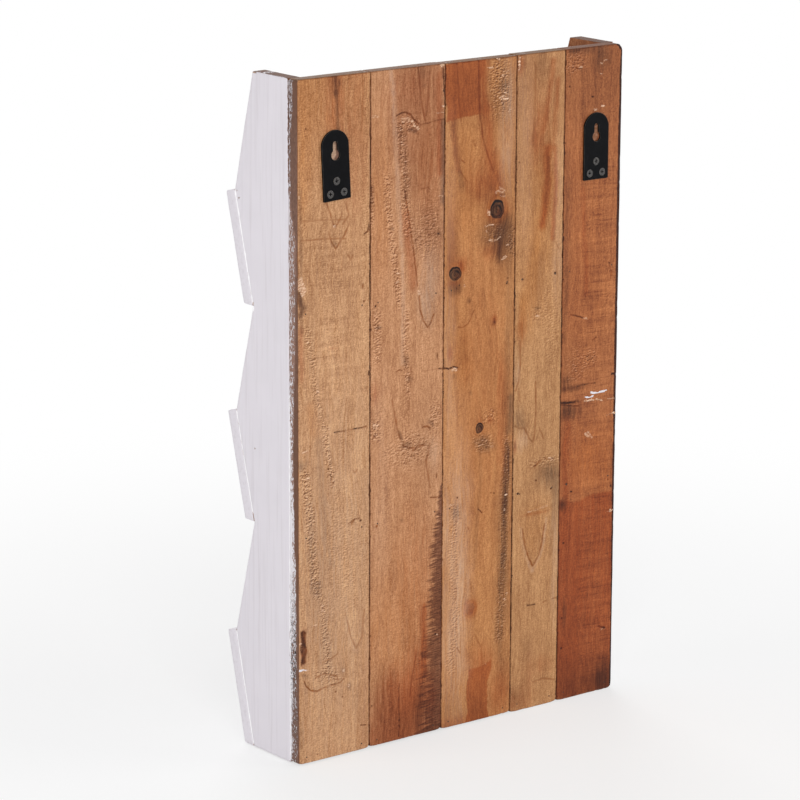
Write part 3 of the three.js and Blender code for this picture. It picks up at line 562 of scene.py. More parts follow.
# Knots: plank, centre x and z, half width across and along, darkness, redness of the halo
KNOTS = [
    (3, -43.5, 544.0, 9.3, 10.0, 1.0, 0.9),
    (3, 11.0, 484.0, 7.8, 7.2, 0.95, 0.5),
    (3, -22.5, 317.5, 5.2, 5.6, 0.8, 0.4),
    (3, -12.0, 125.0, 5.5, 6.5, 0.18, 0.9),
]

# A knot darker than this has lines drawn in it, and finer cells out to a share of its half widths
DARK_KNOT = 0.5
KNOT_CELLS = 1.15

# The dark stripe of torn grain low on the second plank: how far left it reaches at each height
DARK_STRIPE = [(0, 50), (30, 51), (60, 50), (86, 48), (100, 46), (130, 44), (160, 41), (200, 39),
               (222, 36), (240, 33), (262, 30), (270, 26)]

# Width of the dark rim on the last plank's outer edge by height
DARK_RIM = [(0, 2.6), (130, 3.1), (200, 3.8), (400, 4.2), (600, 4.4), (680, 3.6), (696, 2.4),
            (700, 2.2)]


def path_distance(x, z, half_x, half_z, path):
    """Distance to a path in half widths"""
    spots = np.stack([x / half_x, z / half_z], axis=1)
    ends = np.array(path, float) / (half_x, half_z)
    best = np.hypot(*(spots - ends[0]).T)
    for start, end in zip(ends[:-1], ends[1:]):
        run = end - start
        share = np.clip((spots - start) @ run / (run @ run), 0, 1)
        best = np.minimum(best, np.hypot(*(spots - start - share[:, None] * run).T))
    return best


def box_distance(x, z, half_x, half_z, path):
    """Distance from the middle of a block in half widths, so that it has straight sides"""
    centre_x, centre_z = path[0]
    return np.maximum(abs(x - centre_x) / half_x, abs(z - centre_z) / half_z)


class Surface:
    """Painted channels, depth and grain bend for each vertex of a board"""

    def __init__(self, points, seed):
        self.points = points
        self.channels = {name: np.zeros(len(points)) for name in CHANNELS}
        self.depth = np.zeros(len(points))
        self.bend = np.zeros(len(points))
        self.fine = [field(points, 3.5, seed + turn) for turn in (0.1, 0.2)]
        self.coarse = [field(points, 22, seed + turn) for turn in (0.3, 0.4)]
        self.broken = np.clip(0.85 + 0.45 * field(points, 5, seed + 0.5), 0.3, 1)

    def sunk(self, facing):
        """Places of the vertices after the surface has worn down by its depth"""
        return self.points - facing * self.depth[:, None]

    def raise_to(self, channel, value):
        self.channels[channel] = np.maximum(self.channels[channel], value)

    def draw_border(self, channel, gap, where=1.0):
        """Writes the distance to a sharp border, in mm and positive outside"""
        self.raise_to(channel, where * np.clip(0.5 - gap / (2 * BORDER_REACH), 0, 1))

    def paint_marks(self, groups, where, across=0):
        for kind, marks in groups:
            for half_x, half_z, strength, *path in marks:
                self.paint_mark(kind, half_x, half_z, strength, path, where, across)

    def paint_mark(self, kind, half_x, half_z, strength, path, where, across):
        """Paints one mark with a wavering border. Across is the axis that runs across the board."""
        sharp = kind in SHARP_MARKS
        least = LEAST_SHARP_HALF if sharp else LEAST_SOFT_HALF
        half_x, half_z = max(half_x, least), max(half_z, least)
        thin = min(half_x, half_z)
        fine = min(0.2 + 0.35 * thin, 0.8)
        coarse = min(0.25 * thin, 4.0)
        x = self.points[:, across] + fine * self.fine[0] + coarse * self.coarse[0]
        z = self.points[:, 2] + fine * self.fine[1] + coarse * self.coarse[1]
        measure = box_distance if kind == "red_block" else path_distance
        distance = measure(x, z, half_x, half_z, path)
        if sharp:
            channel, depth, gain = SHARP_MARKS[kind]
            gap = (distance - 1) * thin
            self.draw_border(channel, gap, where)
            self.raise_to("tone", gain * strength * self.broken * where * (gap < BORDER_REACH))
            self.depth += depth * strength * where * (1 - smooth_step(gap, -0.4, 0.6))
            return
        channel, depth, softness, gain = SOFT_MARKS[kind]
        cover = where * gain * strength * (1 - smooth_step(distance, 1 - softness, 1 + softness))
        if softness >= 0.8:
            self.channels[channel] = 1 - (1 - self.channels[channel]) * (1 - cover)
        else:
            self.raise_to(channel, cover)
        self.depth += depth * cover

    def paint_knot(self, x0, z0, half_x, half_z, dark, halo, where):
        """Knot with a black broken ring round a greyed heart, red resin below and an orange halo"""
        x = self.points[:, 0] + 0.7 * self.fine[0] - x0
        z = self.points[:, 2] + 0.7 * self.fine[1] - z0
        distance = np.hypot(x / half_x, z / half_z)
        angle = np.arctan2(z, x)
        half = min(half_x, half_z)
        inside = where * (1 - smooth_step(distance, 0.92, 1.08))
        rings = 0.5 + 0.5 * np.cos(distance * 21 + 1.5 * np.sin(angle))
        ring_half = 0.16 * half * np.clip(np.cos(angle - 1.3), 0.05, 1)
        ring = np.abs(distance - 0.88) * half - ring_half
        heart = np.hypot((x - 0.05 * half_x) / (0.66 * half_x), (z + 0.2 * half_z) / (0.6 * half_z))
        heart_ring_half = 0.1 * half * np.clip(np.cos(angle - 2.3), 0.15, 1)
        heart_ring = np.abs(heart - 0.95) * 0.62 * half - heart_ring_half
        split = np.abs(x - 0.12 * half_x) - 0.3 + 2 * (distance > 0.35)
        dark_lines = np.minimum(np.minimum(ring, heart_ring), split)
        if dark > DARK_KNOT:
            self.draw_border("line", dark_lines, where)
            self.raise_to("tone", dark * where * (distance < 1.2))
        self.raise_to("stain", inside * dark * (0.42 + 0.3 * rings))
        self.raise_to("grey", 0.95 * inside * dark)
        below = 0.55 - 0.45 * np.sin(angle + 0.5)
        self.raise_to("red", inside * np.minimum(halo + 0.3, 1) * below)
        self.raise_to("red", where * halo * below * np.exp(-((distance - 0.98) / 0.26) ** 2))
        self.raise_to("gold", 0.8 * where * halo * np.exp(-((distance - 1.35) / 0.3) ** 2))
        self.depth += inside * dark * (0.15 + 0.35 * (dark_lines < 0))
        near = np.exp(-(z / half_z / 2.6) ** 2) * np.exp(-np.abs(x / half_x) / 3.2)
        self.bend -= where * 0.9 * half_x * np.tanh(x / half_x) * near


# Boards


def cut_along(bm, axis, cuts):
    """Cuts every edge that runs the whole way along an axis into equal parts"""
    places = [v.co[axis] for v in bm.verts]
    reach = max(places) - min(places)
    long_edges = [e for e in bm.edges
                  if abs(e.verts[0].co[axis] - e.verts[1].co[axis]) > 0.5 * reach]
    bmesh.ops.subdivide_edges(bm, edges=long_edges, cuts=cuts, use_grid_fill=True)


def refine(bm, test, cuts):
    """Cuts the cells whose corners all pass a test into smaller ones"""
    chosen = {v for v in bm.verts if test(v.co)}
    edges = [e for e in bm.edges if e.verts[0] in chosen and e.verts[1] in chosen]
    bmesh.ops.subdivide_edges(bm, edges=edges, cuts=cuts, use_grid_fill=True)


def blank_board(low, high, cell):
    """Closed board with a narrow strip along each edge, cut into cells of about one size"""
    low, high = np.asarray(low, float), np.asarray(high, float)
    bm = bmesh.new()
    bmesh.ops.create_cube(bm, size=1.0)
    bmesh.ops.scale(bm, vec=Vector(high - low), verts=bm.verts)
    bmesh.ops.translate(bm, vec=Vector((low + high) / 2), verts=bm.verts)
    bmesh.ops.bevel(bm, geom=bm.edges[:], offset=EDGE_STRIP, offset_type="OFFSET", affect="EDGES",
                    segments=EDGE_SEGMENTS, profile=0.5, material=-1)
    for axis in range(3):
        cuts = max(1, round((high[axis] - low[axis]) / cell[axis]) - 1)
        cut_along(bm, axis, cuts)
    return bm


def vertices_of(bm):
    return np.array([v.co for v in bm.verts], float)


def wear_edges(points, low, high, radius):
    """Rounds a board's edges to a radius that may differ from place to place. Also gives the
    direction that each vertex faces."""
    radius = np.asarray(radius, float).reshape(-1, 1)
    core = np.clip(points, low + radius, high - radius)
    away = points - core
    length = np.linalg.norm(away, axis=1, keepdims=True)
    facing = away / np.maximum(length, 1e-6)
    return core + facing * np.minimum(length, radius), facing


def on_ends(facing):
    """1 on the sawn ends of an upright board and 0 on its other faces"""
    return smooth_step(np.abs(facing[:, 2]), 0.5, 0.9)


def move_vertices(bm, points):
    for vertex, place in zip(bm.verts, points / METRE):
        vertex.co = place


def new_piece(bm, name, materials):
    """Smooth object made from a bmesh, which is used up"""
    mesh = bpy.data.meshes.new(name)
    bm.to_mesh(mesh)
    bm.free()
    mesh.polygons.foreach_set("use_smooth", [True] * len(mesh.polygons))
    for material in materials:
        mesh.materials.append(material)
    piece = bpy.data.objects.new(name, mesh)
    bpy.context.scene.collection.objects.link(piece)
    return piece


def write_board(bm, surface, facing, name, materials, node_name, points=None):
    """Turns a worked board into an object that stands for its CAD node. Its vertices are sunk by
    the surface's depth, unless their places are given."""
    move_vertices(bm, surface.sunk(facing) if points is None else points)
    board = new_piece(bm, name, materials)
    values = np.clip([surface.channels[channel] for channel in CHANNELS], 0, 1).astype(np.float32)
    for index, label in enumerate(LAYERS):
        layer = board.data.attributes.new(label, "FLOAT_COLOR", "POINT")
        first = LAYER_SIZE * index
        layer.data.foreach_set("color", values[first:first + LAYER_SIZE].T.ravel())
    bend = board.data.attributes.new("bend", "FLOAT", "POINT")
    bend.data.foreach_set("value", surface.bend.astype(np.float32))
    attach(board, "root")
    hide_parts(node_name)
    return board


# Materials


def linear(code):
    """Linear colour from an sRGB hex code"""
    parts = [int(code[start:start + 2], 16) / 255 for start in (1, 3, 5)]
    return [p / 12.92 if p <= 0.04045 else ((p + 0.055) / 1.055) ** 2.4 for p in parts] + [1.0]


def add(tree, kind, inputs=None, out=0, ramp=None, **settings):
    """Adds a node with its settings, fills or links its inputs and gives one of its outputs, if
    it has any"""
    made = tree.nodes.new("ShaderNode" + kind)
    for name, value in settings.items():
        setattr(made, name, value)
    for name, value in (inputs or {}).items():
        if isinstance(value, bpy.types.NodeSocket):
            tree.links.new(value, made.inputs[name])
        else:
            made.inputs[name].default_value = value
    for index, (place, value) in enumerate(ramp or []):
        stops = made.color_ramp.elements
        stop = stops[index] if index < 2 else stops.new(place)
        stop.position = place
        stop.color = value
    return made.outputs[out] if made.outputs else None


def new_material(name, shift=(0, 0, 0)):
    """Empty material, and places on the object in mm"""
    material = bpy.data.materials.new(name)
    material.use_nodes = True
    tree = material.node_tree
    tree.nodes.clear()
    place = add(tree, "TexCoord", out="Object")
    mm = add(tree, "Mapping", {"Vector": place, "Location": shift, "Scale": (METRE, METRE, METRE)})
    return material, tree, mm


def finish_material(tree, height, strength, depth, inputs):
    """Shader with a bump whose full height is depth in mm"""
    bump = add(tree, "Bump", {"Height": height, "Strength": strength, "Distance": depth / METRE})
    shader = add(tree, "BsdfPrincipled", {"Normal": bump, **inputs})
    add(tree, "OutputMaterial", {"Surface": shader})


def grey(level):
    return (level, level, level, 1.0)


def read_layers(tree):
    """Sockets of every painted channel by name"""
    sockets = {}
    for index, label in enumerate(LAYERS):
        layer = add(tree, "Attribute", out="Color", attribute_name=label).node
        parts = add(tree, "SeparateColor", {0: layer.outputs["Color"]}).node
        found = [parts.outputs[part] for part in range(3)] + [layer.outputs["Alpha"]]
        first = LAYER_SIZE * index
        sockets.update(zip(CHANNELS[first:first + LAYER_SIZE], found))
    return sockets


def stretched_noise(tree, place, size, detail=2.0, roughness=0.5, distortion=0.0):
    """Noise whose spots measure about size along x, y and z, in mm"""
    scaled = add(tree, "Mapping", {"Vector": place, "Scale": tuple(1 / length for length in size)})
    return add(tree, "TexNoise", {"Vector": scaled, "Scale": 1.0, "Detail": detail,
                                  "Roughness": roughness, "Distortion": distortion})


def weigh(tree, total, parts):
    """Adds parts to a number, each measured from its centre and multiplied by its gain"""
    for part, centre, gain in parts:
        level = add(tree, "Math", {0: part, 1: -centre}, operation="ADD")
        total = add(tree, "Math", {0: level, 1: gain, 2: total}, operation="MULTIPLY_ADD")
    return total


def streaked(tree, share, streaks):
    """Share of a tint, broken into streaks where it is partial"""
    rest = add(tree, "Math", {0: 1.0, 1: share}, operation="SUBTRACT")
    partial = add(tree, "Math", {0: share, 1: rest}, operation="MULTIPLY")
    level = add(tree, "Math", {0: streaks, 1: -0.5}, operation="ADD")
    shift = add(tree, "Math", {0: level, 1: 4.5}, operation="MULTIPLY")
    return add(tree, "Math", {0: partial, 1: shift, 2: share}, operation="MULTIPLY_ADD",
               use_clamp=True)


def drawn(tree, border, ragged, width=0.06):
    """Share of a sharp mark, its border shifted by noise"""
    level = weigh(tree, border, ragged)
    return add(tree, "MapRange", {"Value": level, "From Min": 0.5 - width, "From Max": 0.5 + width})


# A ring wave of scale 1 repeats every 0.314 of its own units
WAVE_REPEAT = 0.314


def lay_over(tree, colour, layers):
    """Lays shades over a colour, each with the share that it covers: MIX hides what lies below, as
    paint does, and MULTIPLY darkens it, as a stain does"""
    for share, shade, kind in layers:
        colour = add(tree, "Mix", {0: share, 6: colour, 7: shade}, out=2, data_type="RGBA",
                     blend_type=kind)
    return colour


# Tints of the wood in the order that they lie: channel, shade, and how it is laid
TINTS = (("gold", "#f2d9b4", "MULTIPLY"), ("red", "#dcac8e", "MULTIPLY"),
         ("grey", "#9ba1b6", "MULTIPLY"), ("stain", "#5f3623", "MULTIPLY"),
         ("pale", "#dcbfa6", "MIX"))


def sawn_wood(name, light, middle, deep, shift, pith, ring, rough=0.4, hairy=1.0,
              brush=(6, 6, 170)):
    """Reclaimed softwood, gang sawn and left raw, with what is left of old paint. The saw leaves
    a dull, finely hairy face: soft streaks along the grain, and stripes of short torn ripples.
    Pith is where the log's heart lay, ring the width of a year's growth and brush the size of the
    strokes in the paint, all in mm."""
    material, tree, mm = new_material(name, shift)
    painted = read_layers(tree)
    bend = add(tree, "Attribute", out="Fac", attribute_name="bend")

    # The grain wanders by a few mm over a hand's breadth and bends round the knots
    drift = add(tree, "TexNoise", {"Vector": mm, "Scale": 1 / 70, "Detail": 2.0}, out="Color")
    centred = add(tree, "VectorMath", {0: drift, 1: (0.5, 0.5, 0.5)}, operation="SUBTRACT")
    wander = add(tree, "VectorMath", {0: centred, "Scale": 14.0}, operation="SCALE")
    round_knots = add(tree, "CombineXYZ", {0: bend})
    moved = add(tree, "VectorMath", {0: mm, 1: wander}, operation="ADD")
    grain = add(tree, "VectorMath", {0: moved, 1: round_knots}, operation="ADD")

    # Growth rings round the pith, drawn out along the trunk
    heart = add(tree, "Mapping", {"Vector": grain, "Location": (-pith[0], -pith[1], 0),
                                  "Scale": (1, 1, 0.045)})
    rings = add(tree, "TexWave", {"Vector": heart, "Scale": WAVE_REPEAT / ring, "Distortion": 2.2,
                                  "Detail": 2.0, "Detail Scale": 0.6, "Detail Roughness": 0.5},
                out="Fac", wave_type="RINGS", rings_direction="Z", wave_profile="SAW")
    late = add(tree, "ValToRGB", {"Fac": rings},
               ramp=[(0.0, grey(0.25)), (1.0, grey(0.0)), (0.55, grey(0.35)), (0.88, grey(1.0))])

    # Streaks, blotches, wavy fibres as fine as fur, and grit, which is drawn as coarse as it shows
    streak = stretched_noise(tree, grain, (6, 6, 170), 3.0)
    thin_streak = stretched_noise(tree, grain, (2.4, 2.4, 70), 3.0, 0.6)
    blotch = stretched_noise(tree, mm, (26, 26, 70))
    fibre = stretched_noise(tree, grain, (1.4, 1.4, 8), 3.0, 0.6, 0.7)
    grit = stretched_noise(tree, mm, (1.3, 1.3, 1.3), 2.0, 0.6)

    # Ripples where the saw tore the wood, 3.2 mm across and 1.9 mm high, each given painted light
    # from above: a painted highlight on top and painted shade below
    ripple_size = (3.2, 3.2, 1.9)
    ripple = stretched_noise(tree, mm, ripple_size, 2.0, 0.55, 0.5)
    lower = add(tree, "VectorMath", {0: mm, 1: (0.6, 0.0, 1.0)}, operation="ADD")
    shadow = stretched_noise(tree, lower, ripple_size, 2.0, 0.55, 0.5)
    lit = add(tree, "Math", {0: ripple, 1: shadow}, operation="SUBTRACT")
    zone = stretched_noise(tree, grain, (13, 13, 150))
    zones = add(tree, "MapRange", {"Value": zone, "From Min": 0.42, "From Max": 0.64,
                                   "To Min": 0.12 * rough, "To Max": 0.55 * rough})
    roughness = add(tree, "Math", {0: zones, 1: painted["torn"]}, operation="ADD", use_clamp=True)
    ripples = add(tree, "Math", {0: lit, 1: roughness}, operation="MULTIPLY")

    # Faint bands that the saw blade left across the board, with a darker thread here and there
    slanted = add(tree, "Mapping", {"Vector": mm, "Rotation": (0, math.radians(2), 0)})
    band = stretched_noise(tree, slanted, (70, 70, 6), 3.0, 0.6)
    thread = stretched_noise(tree, slanted, (36, 36, 1.5), 2.0, 0.5)
    threads = add(tree, "MapRange", {"Value": thread, "From Min": 0.40, "From Max": 0.30})
    bands = weigh(tree, 0.0, [(band, 0.5, 0.9), (threads, 0.08, -0.26)])
    bands = add(tree, "Math", {0: bands, 1: painted["saw"]}, operation="MULTIPLY")

    # The tone also takes the torn ripples' painted light and shade
    tone = weigh(tree, 0.5, [
        (streak, 0.5, 0.5), (thin_streak, 0.5, 0.28), (blotch, 0.5, 0.5), (fibre, 0.5, 1.1 * hairy),
        (grit, 0.5, 0.9 * hairy), (late, 0.3, -0.14), (ripples, 0.0, 3.4), (bands, 0.0, 1.0)])
    colour = add(tree, "ValToRGB", {"Fac": tone},
                 ramp=[(0.0, linear(deep)), (1.0, linear(light)), (0.5, linear(middle))])

    # Tints are broken into streaks along the grain
    colour = lay_over(tree, colour, [
        (streaked(tree, painted[channel], thin_streak), linear(shade), kind)
        for channel, shade, kind in TINTS])

    # Torn dark grain that licks in from a joint in thin slanted tongues
    tilted = add(tree, "Mapping", {"Vector": mm, "Rotation": (0, math.radians(-4), 0)})
    lick = stretched_noise(tree, tilted, (13, 13, 1.5), 3.0, 0.7)
    hair = stretched_noise(tree, tilted, (9, 9, 0.9), 1.0)
    big_lick = stretched_noise(tree, tilted, (30, 30, 3.4), 2.0, 0.6)
    tongues = drawn(tree, painted["flame"], [(lick, 0.5, 1.1), (big_lick, 0.5, 0.7)], 0.13)
    thin_licks = add(tree, "MapRange", {"Value": hair, "From Min": 0.6, "From Max": 0.36})
    thin_licks = add(tree, "Math", {0: thin_licks, 1: tongues}, operation="MULTIPLY")
    colour = lay_over(tree, colour, [(tongues, linear("#b3a3a2"), "MULTIPLY"),
                                     (thin_licks, linear("#b9aba4"), "MULTIPLY")])

    # Old paint ends at chips about 1.4 mm wide and 3 mm long
    chip = stretched_noise(tree, mm, (1.4, 1.4, 3), 4.0, 0.65)
    chipped = add(tree, "Math", {0: chip, 1: 0.55, 2: painted["paint"]}, operation="MULTIPLY_ADD")
    cover = add(tree, "MapRange", {"Value": chipped, "From Min": 0.76, "From Max": 0.82})
    cloud = add(tree, "TexNoise", {"Vector": mm, "Scale": 1 / 35, "Detail": 3.0})
    strokes = stretched_noise(tree, mm, brush, 3.0, 0.6)
    thin_coat = add(tree, "MapRange", {"Value": strokes, "From Min": 0.5, "From Max": 0.72,
                                       "To Max": 0.45})
    coat = lay_over(tree, linear("#dcd7dd"), [(cloud, linear("#e4dfe5"), "MIX"),
                                              (thin_coat, linear("#cdc6cb"), "MIX")])
    colour = lay_over(tree, colour, [(cover, coat, "MIX")])

    # Hooks of torn wood, with painted shade under each and a painted highlight on top
    under = add(tree, "MapRange", {"Value": lit, "From Min": -0.05, "From Max": -0.16})
    under = add(tree, "Math", {0: under, 1: painted["torn"]}, operation="MULTIPLY")
    above = add(tree, "MapRange", {"Value": lit, "From Min": 0.12, "From Max": 0.24, "To Max": 0.6})
    above = add(tree, "Math", {0: above, 1: painted["torn"]}, operation="MULTIPLY")
    colour = lay_over(tree, colour, [(under, linear("#a18776"), "MULTIPLY"),
                                     (above, linear("#ecc6aa"), "MIX")])

    # Cracks, pits and lines: warm brown where faint and near black where deep; and pale splinters
    # with painted light, a painted highlight on one side and painted shade on the other
    line = drawn(tree, painted["line"], [(grit, 0.5, 0.8), (fibre, 0.5, 0.5)], 0.13)
    depth = add(tree, "ValToRGB", {"Fac": painted["tone"]},
                ramp=[(0.0, grey(1.0)), (1.0, linear("#452b20")), (0.45, linear("#c6a27e"))])
    splinter = drawn(tree, painted["splinter"], [(ripple, 0.5, 0.9), (grit, 0.5, 0.6)], 0.08)
    splinters = add(tree, "Math", {0: splinter, 1: painted["tone"]}, operation="MULTIPLY")
    # Splinters take the ripples' painted light: paler where lit and darker where shaded
    splinter_light_and_shade = add(tree, "MapRange", {"Value": lit, "From Min": -0.12, "From Max": 0.14})
    fresh = lay_over(tree, linear("#b98661"), [(splinter_light_and_shade, linear("#f0cdb0"), "MIX")])
    colour = lay_over(tree, colour, [(line, depth, "MULTIPLY"), (splinters, fresh, "MIX")])

    # Relief in mm: fibres stand up, torn ripples lie low, paint fills the fine grain
    bare = add(tree, "Math", {0: 1.0, 1: cover}, operation="SUBTRACT")
    torn_low = add(tree, "Math", {0: ripple, 1: roughness}, operation="MULTIPLY")
    relief = weigh(tree, 0.0, [(fibre, 0.5, 0.16), (grit, 0.5, 0.1), (torn_low, 0.0, 0.9),
                               (bands, 0.0, 0.25)])
    raw_relief = add(tree, "Math", {0: relief, 1: bare}, operation="MULTIPLY")
    brushed = add(tree, "Math", {0: strokes, 1: cover}, operation="MULTIPLY")
    height = weigh(tree, raw_relief, [(cover, 0.0, 0.28), (line, 0.0, -0.35),
                                      (splinter, 0.0, 0.25), (brushed, 0.0, 0.15)])
    shine = add(tree, "MapRange", {"Value": cover, "To Min": 0.78, "To Max": 0.55})
    finish_material(tree, height, 0.7, 1.0, {"Base Color": colour, "Roughness": shine, "IOR": 1.45,
                                             "Specular IOR Level": 0.35})
    return material


def flaking_paint(name, coat, bare, dirty):
    """Emulsion brushed thinly over raw wood and half worn off: dry white dashes on greyed wood, and
    lower down whole flakes with dirt along their borders"""
    material, tree, mm = new_material(name)
    painted = read_layers(tree)
    dash = stretched_noise(tree, mm, (1.3, 1.3, 3.6), 3.0, 0.65)
    flake = stretched_noise(tree, mm, (2.6, 2.6, 3.4), 1.0, 0.5, 0.6)
    wood_tone = add(tree, "Math", {0: dash, 1: 1.6, 2: painted["stain"]}, operation="MULTIPLY_ADD")
    wood_dark = add(tree, "MapRange", {"Value": wood_tone, "From Min": 0.8, "From Max": 1.7})
    white = drawn(tree, painted["paint"], [(dash, 0.5, 2.0)], 0.07)
    level = add(tree, "Math", {0: flake, 1: 0.5}, operation="SUBTRACT")
    off = add(tree, "Math", {0: level}, operation="ABSOLUTE")
    border = add(tree, "MapRange", {"Value": off, "From Min": 0.055, "From Max": 0.025})
    border = add(tree, "Math", {0: border, 1: painted["torn"]}, operation="MULTIPLY")
    line = drawn(tree, painted["line"], [(dash, 0.5, 0.6)])
    line = add(tree, "Math", {0: line, 1: painted["tone"]}, operation="MULTIPLY")
    colour = lay_over(tree, linear(bare), [
        (wood_dark, linear(dirty), "MIX"), (white, linear(coat), "MIX"),
        (border, linear("#211a19"), "MIX"), (line, linear("#64422f"), "MIX")])
    height = weigh(tree, 0.0, [(dash, 0.5, 0.25), (white, 0.0, 0.3), (border, 0.0, -0.4),
                               (line, 0.0, -0.2)])
    finish_material(tree, height, 0.7, 1.0, {"Base Color": colour, "Roughness": 0.7, "IOR": 1.45,
                                             "Specular IOR Level": 0.35})
    return material


def coated_steel(name, coat, dusty_coat, shine):
    """Steel strap with a satin black coating: smooth, with faint scratches and dust"""
    material, tree, mm = new_material(name)
    peel = add(tree, "TexNoise", {"Vector": mm, "Scale": 1 / 1.2, "Detail": 2.0})
    dust = add(tree, "TexNoise", {"Vector": mm, "Scale": 1 / 9, "Detail": 5.0, "Roughness": 0.7})
    scratch_place = add(tree, "Mapping", {"Vector": mm, "Rotation": (0, math.radians(24), 0),
                                          "Scale": (1 / 0.25, 1 / 0.25, 1 / 14)})
    scratch = add(tree, "TexNoise", {"Vector": scratch_place, "Scale": 1.0, "Detail": 1.0})
    scratched = add(tree, "MapRange", {"Value": scratch, "From Min": 0.70, "From Max": 0.78})
    dusty = add(tree, "MapRange", {"Value": dust, "From Min": 0.45, "From Max": 0.75})
    colour = lay_over(tree, linear(coat), [(dusty, linear(dusty_coat), "MIX"),
                                           (scratched, linear("#26262b"), "MIX")])
    rough = add(tree, "MapRange", {"Value": dust, "To Min": 0.36, "To Max": 0.56})
    finish_material(tree, peel, 0.3, 0.05, {"Base Color": colour, "Roughness": rough, "IOR": 1.5,
                                            "Specular IOR Level": shine})
    return material


def clouded_metal(name, spot, dull, bright, metallic, smoothest, roughest, relief):
    """Bare or plated metal that age has clouded in spots about as big as spot, in mm, each of its
    own tone, gloss and height"""
    material, tree, mm = new_material(name)
    cloud = add(tree, "TexNoise", {"Vector": mm, "Scale": 1 / spot, "Detail": 4.0})
    colour = lay_over(tree, linear(dull), [(cloud, linear(bright), "MIX")])
    rough = add(tree, "MapRange", {"Value": cloud, "To Min": smoothest, "To Max": roughest})
    finish_material(tree, cloud, relief, 0.1, {"Base Color": colour, "Metallic": metallic,
                                               "Roughness": rough})
    return material


def plated_steel(name, dull, bright):
    """Zinc plated wood screws: grey metal, duller where the plating has clouded"""
    return clouded_metal(name, 1.6, dull, bright, 0.85, 0.28, 0.5, 0.3)


def dull_wire():
    """Brads of drawn wire, browned by age"""
    return clouded_metal("browned_drawn_wire", 0.8, "#2b211c", "#5d4436", 0.4, 0.5, 0.85, 0.4)


def highlighted_thick_paint():
    """Drips and beads of white emulsion paint: opaque, soft sheen, and whiter than the paint on the
    boards as a painted highlight along each bead
    """
    material, tree, mm = new_material("thick_white_paint_with_painted_highlight")
    cloud = add(tree, "TexNoise", {"Vector": mm, "Scale": 1 / 5, "Detail": 3.0})
    colour = lay_over(tree, linear("#faf7fa"), [(cloud, linear("#fefdfe"), "MIX")])
    brush = add(tree, "TexNoise", {"Vector": mm, "Scale": 1 / 0.7, "Detail": 2.0})
    finish_material(tree, brush, 0.3, 0.1, {"Base Color": colour, "Roughness": 0.5, "IOR": 1.48})
    return material


# Tones of the planks, light, middle and deep, with the pith of the log each was sawn from
PLANK_WOOD = [
    ("honey_softwood", "#dbac7f", "#bb8a61", "#91603a", (0, 0, 0), (150, 10), 5.5, 0.45, 1.35),
    ("pinkish_softwood", "#d8a47c", "#b8845d", "#8d5837", (300, 50, 200), (390, 90), 5.0, 0.4, 1.1),
    ("orange_softwood", "#d39862", "#b47a49", "#8a522d", (700, 20, 90), (690, 45), 6.0, 0.3, 1.0),
    ("tan_softwood", "#d6a473", "#b38256", "#8c5b36", (100, 80, 900), (-2, 120), 4.5, 0.3, 1.1),
    ("rust_softwood", "#c68150", "#a16139", "#733a20", (500, 30, 400), (340, 70), 5.0, 0.35, 1.0),
]

# Cells of the blank boards
PLANK_CELL = (1.8, 2.4, 2.2)
SIDE_CELL = (2.7, 2.0, 2.0)
FRONT_CELL = (2.6, 2.6, 2.2)
FLOOR_CELL = (3.0, 2.5, 2.5)

# Keyhole centre and tilt of the plate on the first and the last plank, and the recess behind it:
# its half width, how far it rises and how deep it is, and the tone of the fresh wood in it, which
# is paler as painted light against the recess's shade
HANGER_PLACES = {1: (164.5, 622.0, 3.0), 5: (-174.0, 606.2, 0.0)}
RECESS_HALF = 6.0
RECESS_RISE = 10.8
RECESS_DEPTH = 5.0
RECESS_PALE_AND_LIT_TONES = {1: ("pale", 0.5), 5: ("gold", 0.45)}

# Finer cells: how far they reach on each side of a brad, and for a recess how far above the
# keyhole's centre their middle lies and how far they reach across and along
BRAD_CELLS = 3.0
RECESS_CELLS_RISE = 6.0
RECESS_CELLS = (9.0, 14.0)

# Brads are driven a little below the wood
DIMPLE_RADIUS = 0.75
DIMPLE_DEPTH = 0.45

# Round top corners of the outer planks: which way they lie, and radius
OUTER_CORNERS = {1: (1, 2.5), 5: (-1, 8.0)}
JOINT_GAP = node_box("back_plank_1")[0][0] - node_box("back_plank_2")[1][0]

# Strip along the rack's outer edges that no joint reaches
OUTER_STRIP = 3.0


def brad_places(low, high):
    """Heads of the brads that lie in a plank, as x and z"""
    places = []
    for tier in TIERS:
        for number in range(1, 11):
            a, b = node_box(f"plank_brad_{tier}_{number}")
            middle = (a + b) / 2
            if low[0] < middle[0] < high[0]:
                places.append((middle[0], middle[2]))
    return places


def plank_blank(number, low, high, dimples):
    """Blank plank, finer on its back, and finer again round brads, dark knots and the keyhole"""
    bm = blank_board(low, high, PLANK_CELL)
    back = high[1] - 0.01
    refine(bm, lambda co: co.y > back, 1)
    spots = [(x, z, BRAD_CELLS, BRAD_CELLS) for x, z in dimples]
    for plank, x, z, half_x, half_z, dark, _ in KNOTS:
        if plank == number and dark > DARK_KNOT:
            spots.append((x, z, KNOT_CELLS * half_x, KNOT_CELLS * half_z))
    if number in HANGER_PLACES:
        x, z, _ = HANGER_PLACES[number]
        spots.append((x, z + RECESS_CELLS_RISE, *RECESS_CELLS))
    refine(bm, lambda co: co.y >= back and any(
        abs(co.x - x) < half_x and abs(co.z - z) < half_z for x, z, half_x, half_z in spots), 2)
    return bm


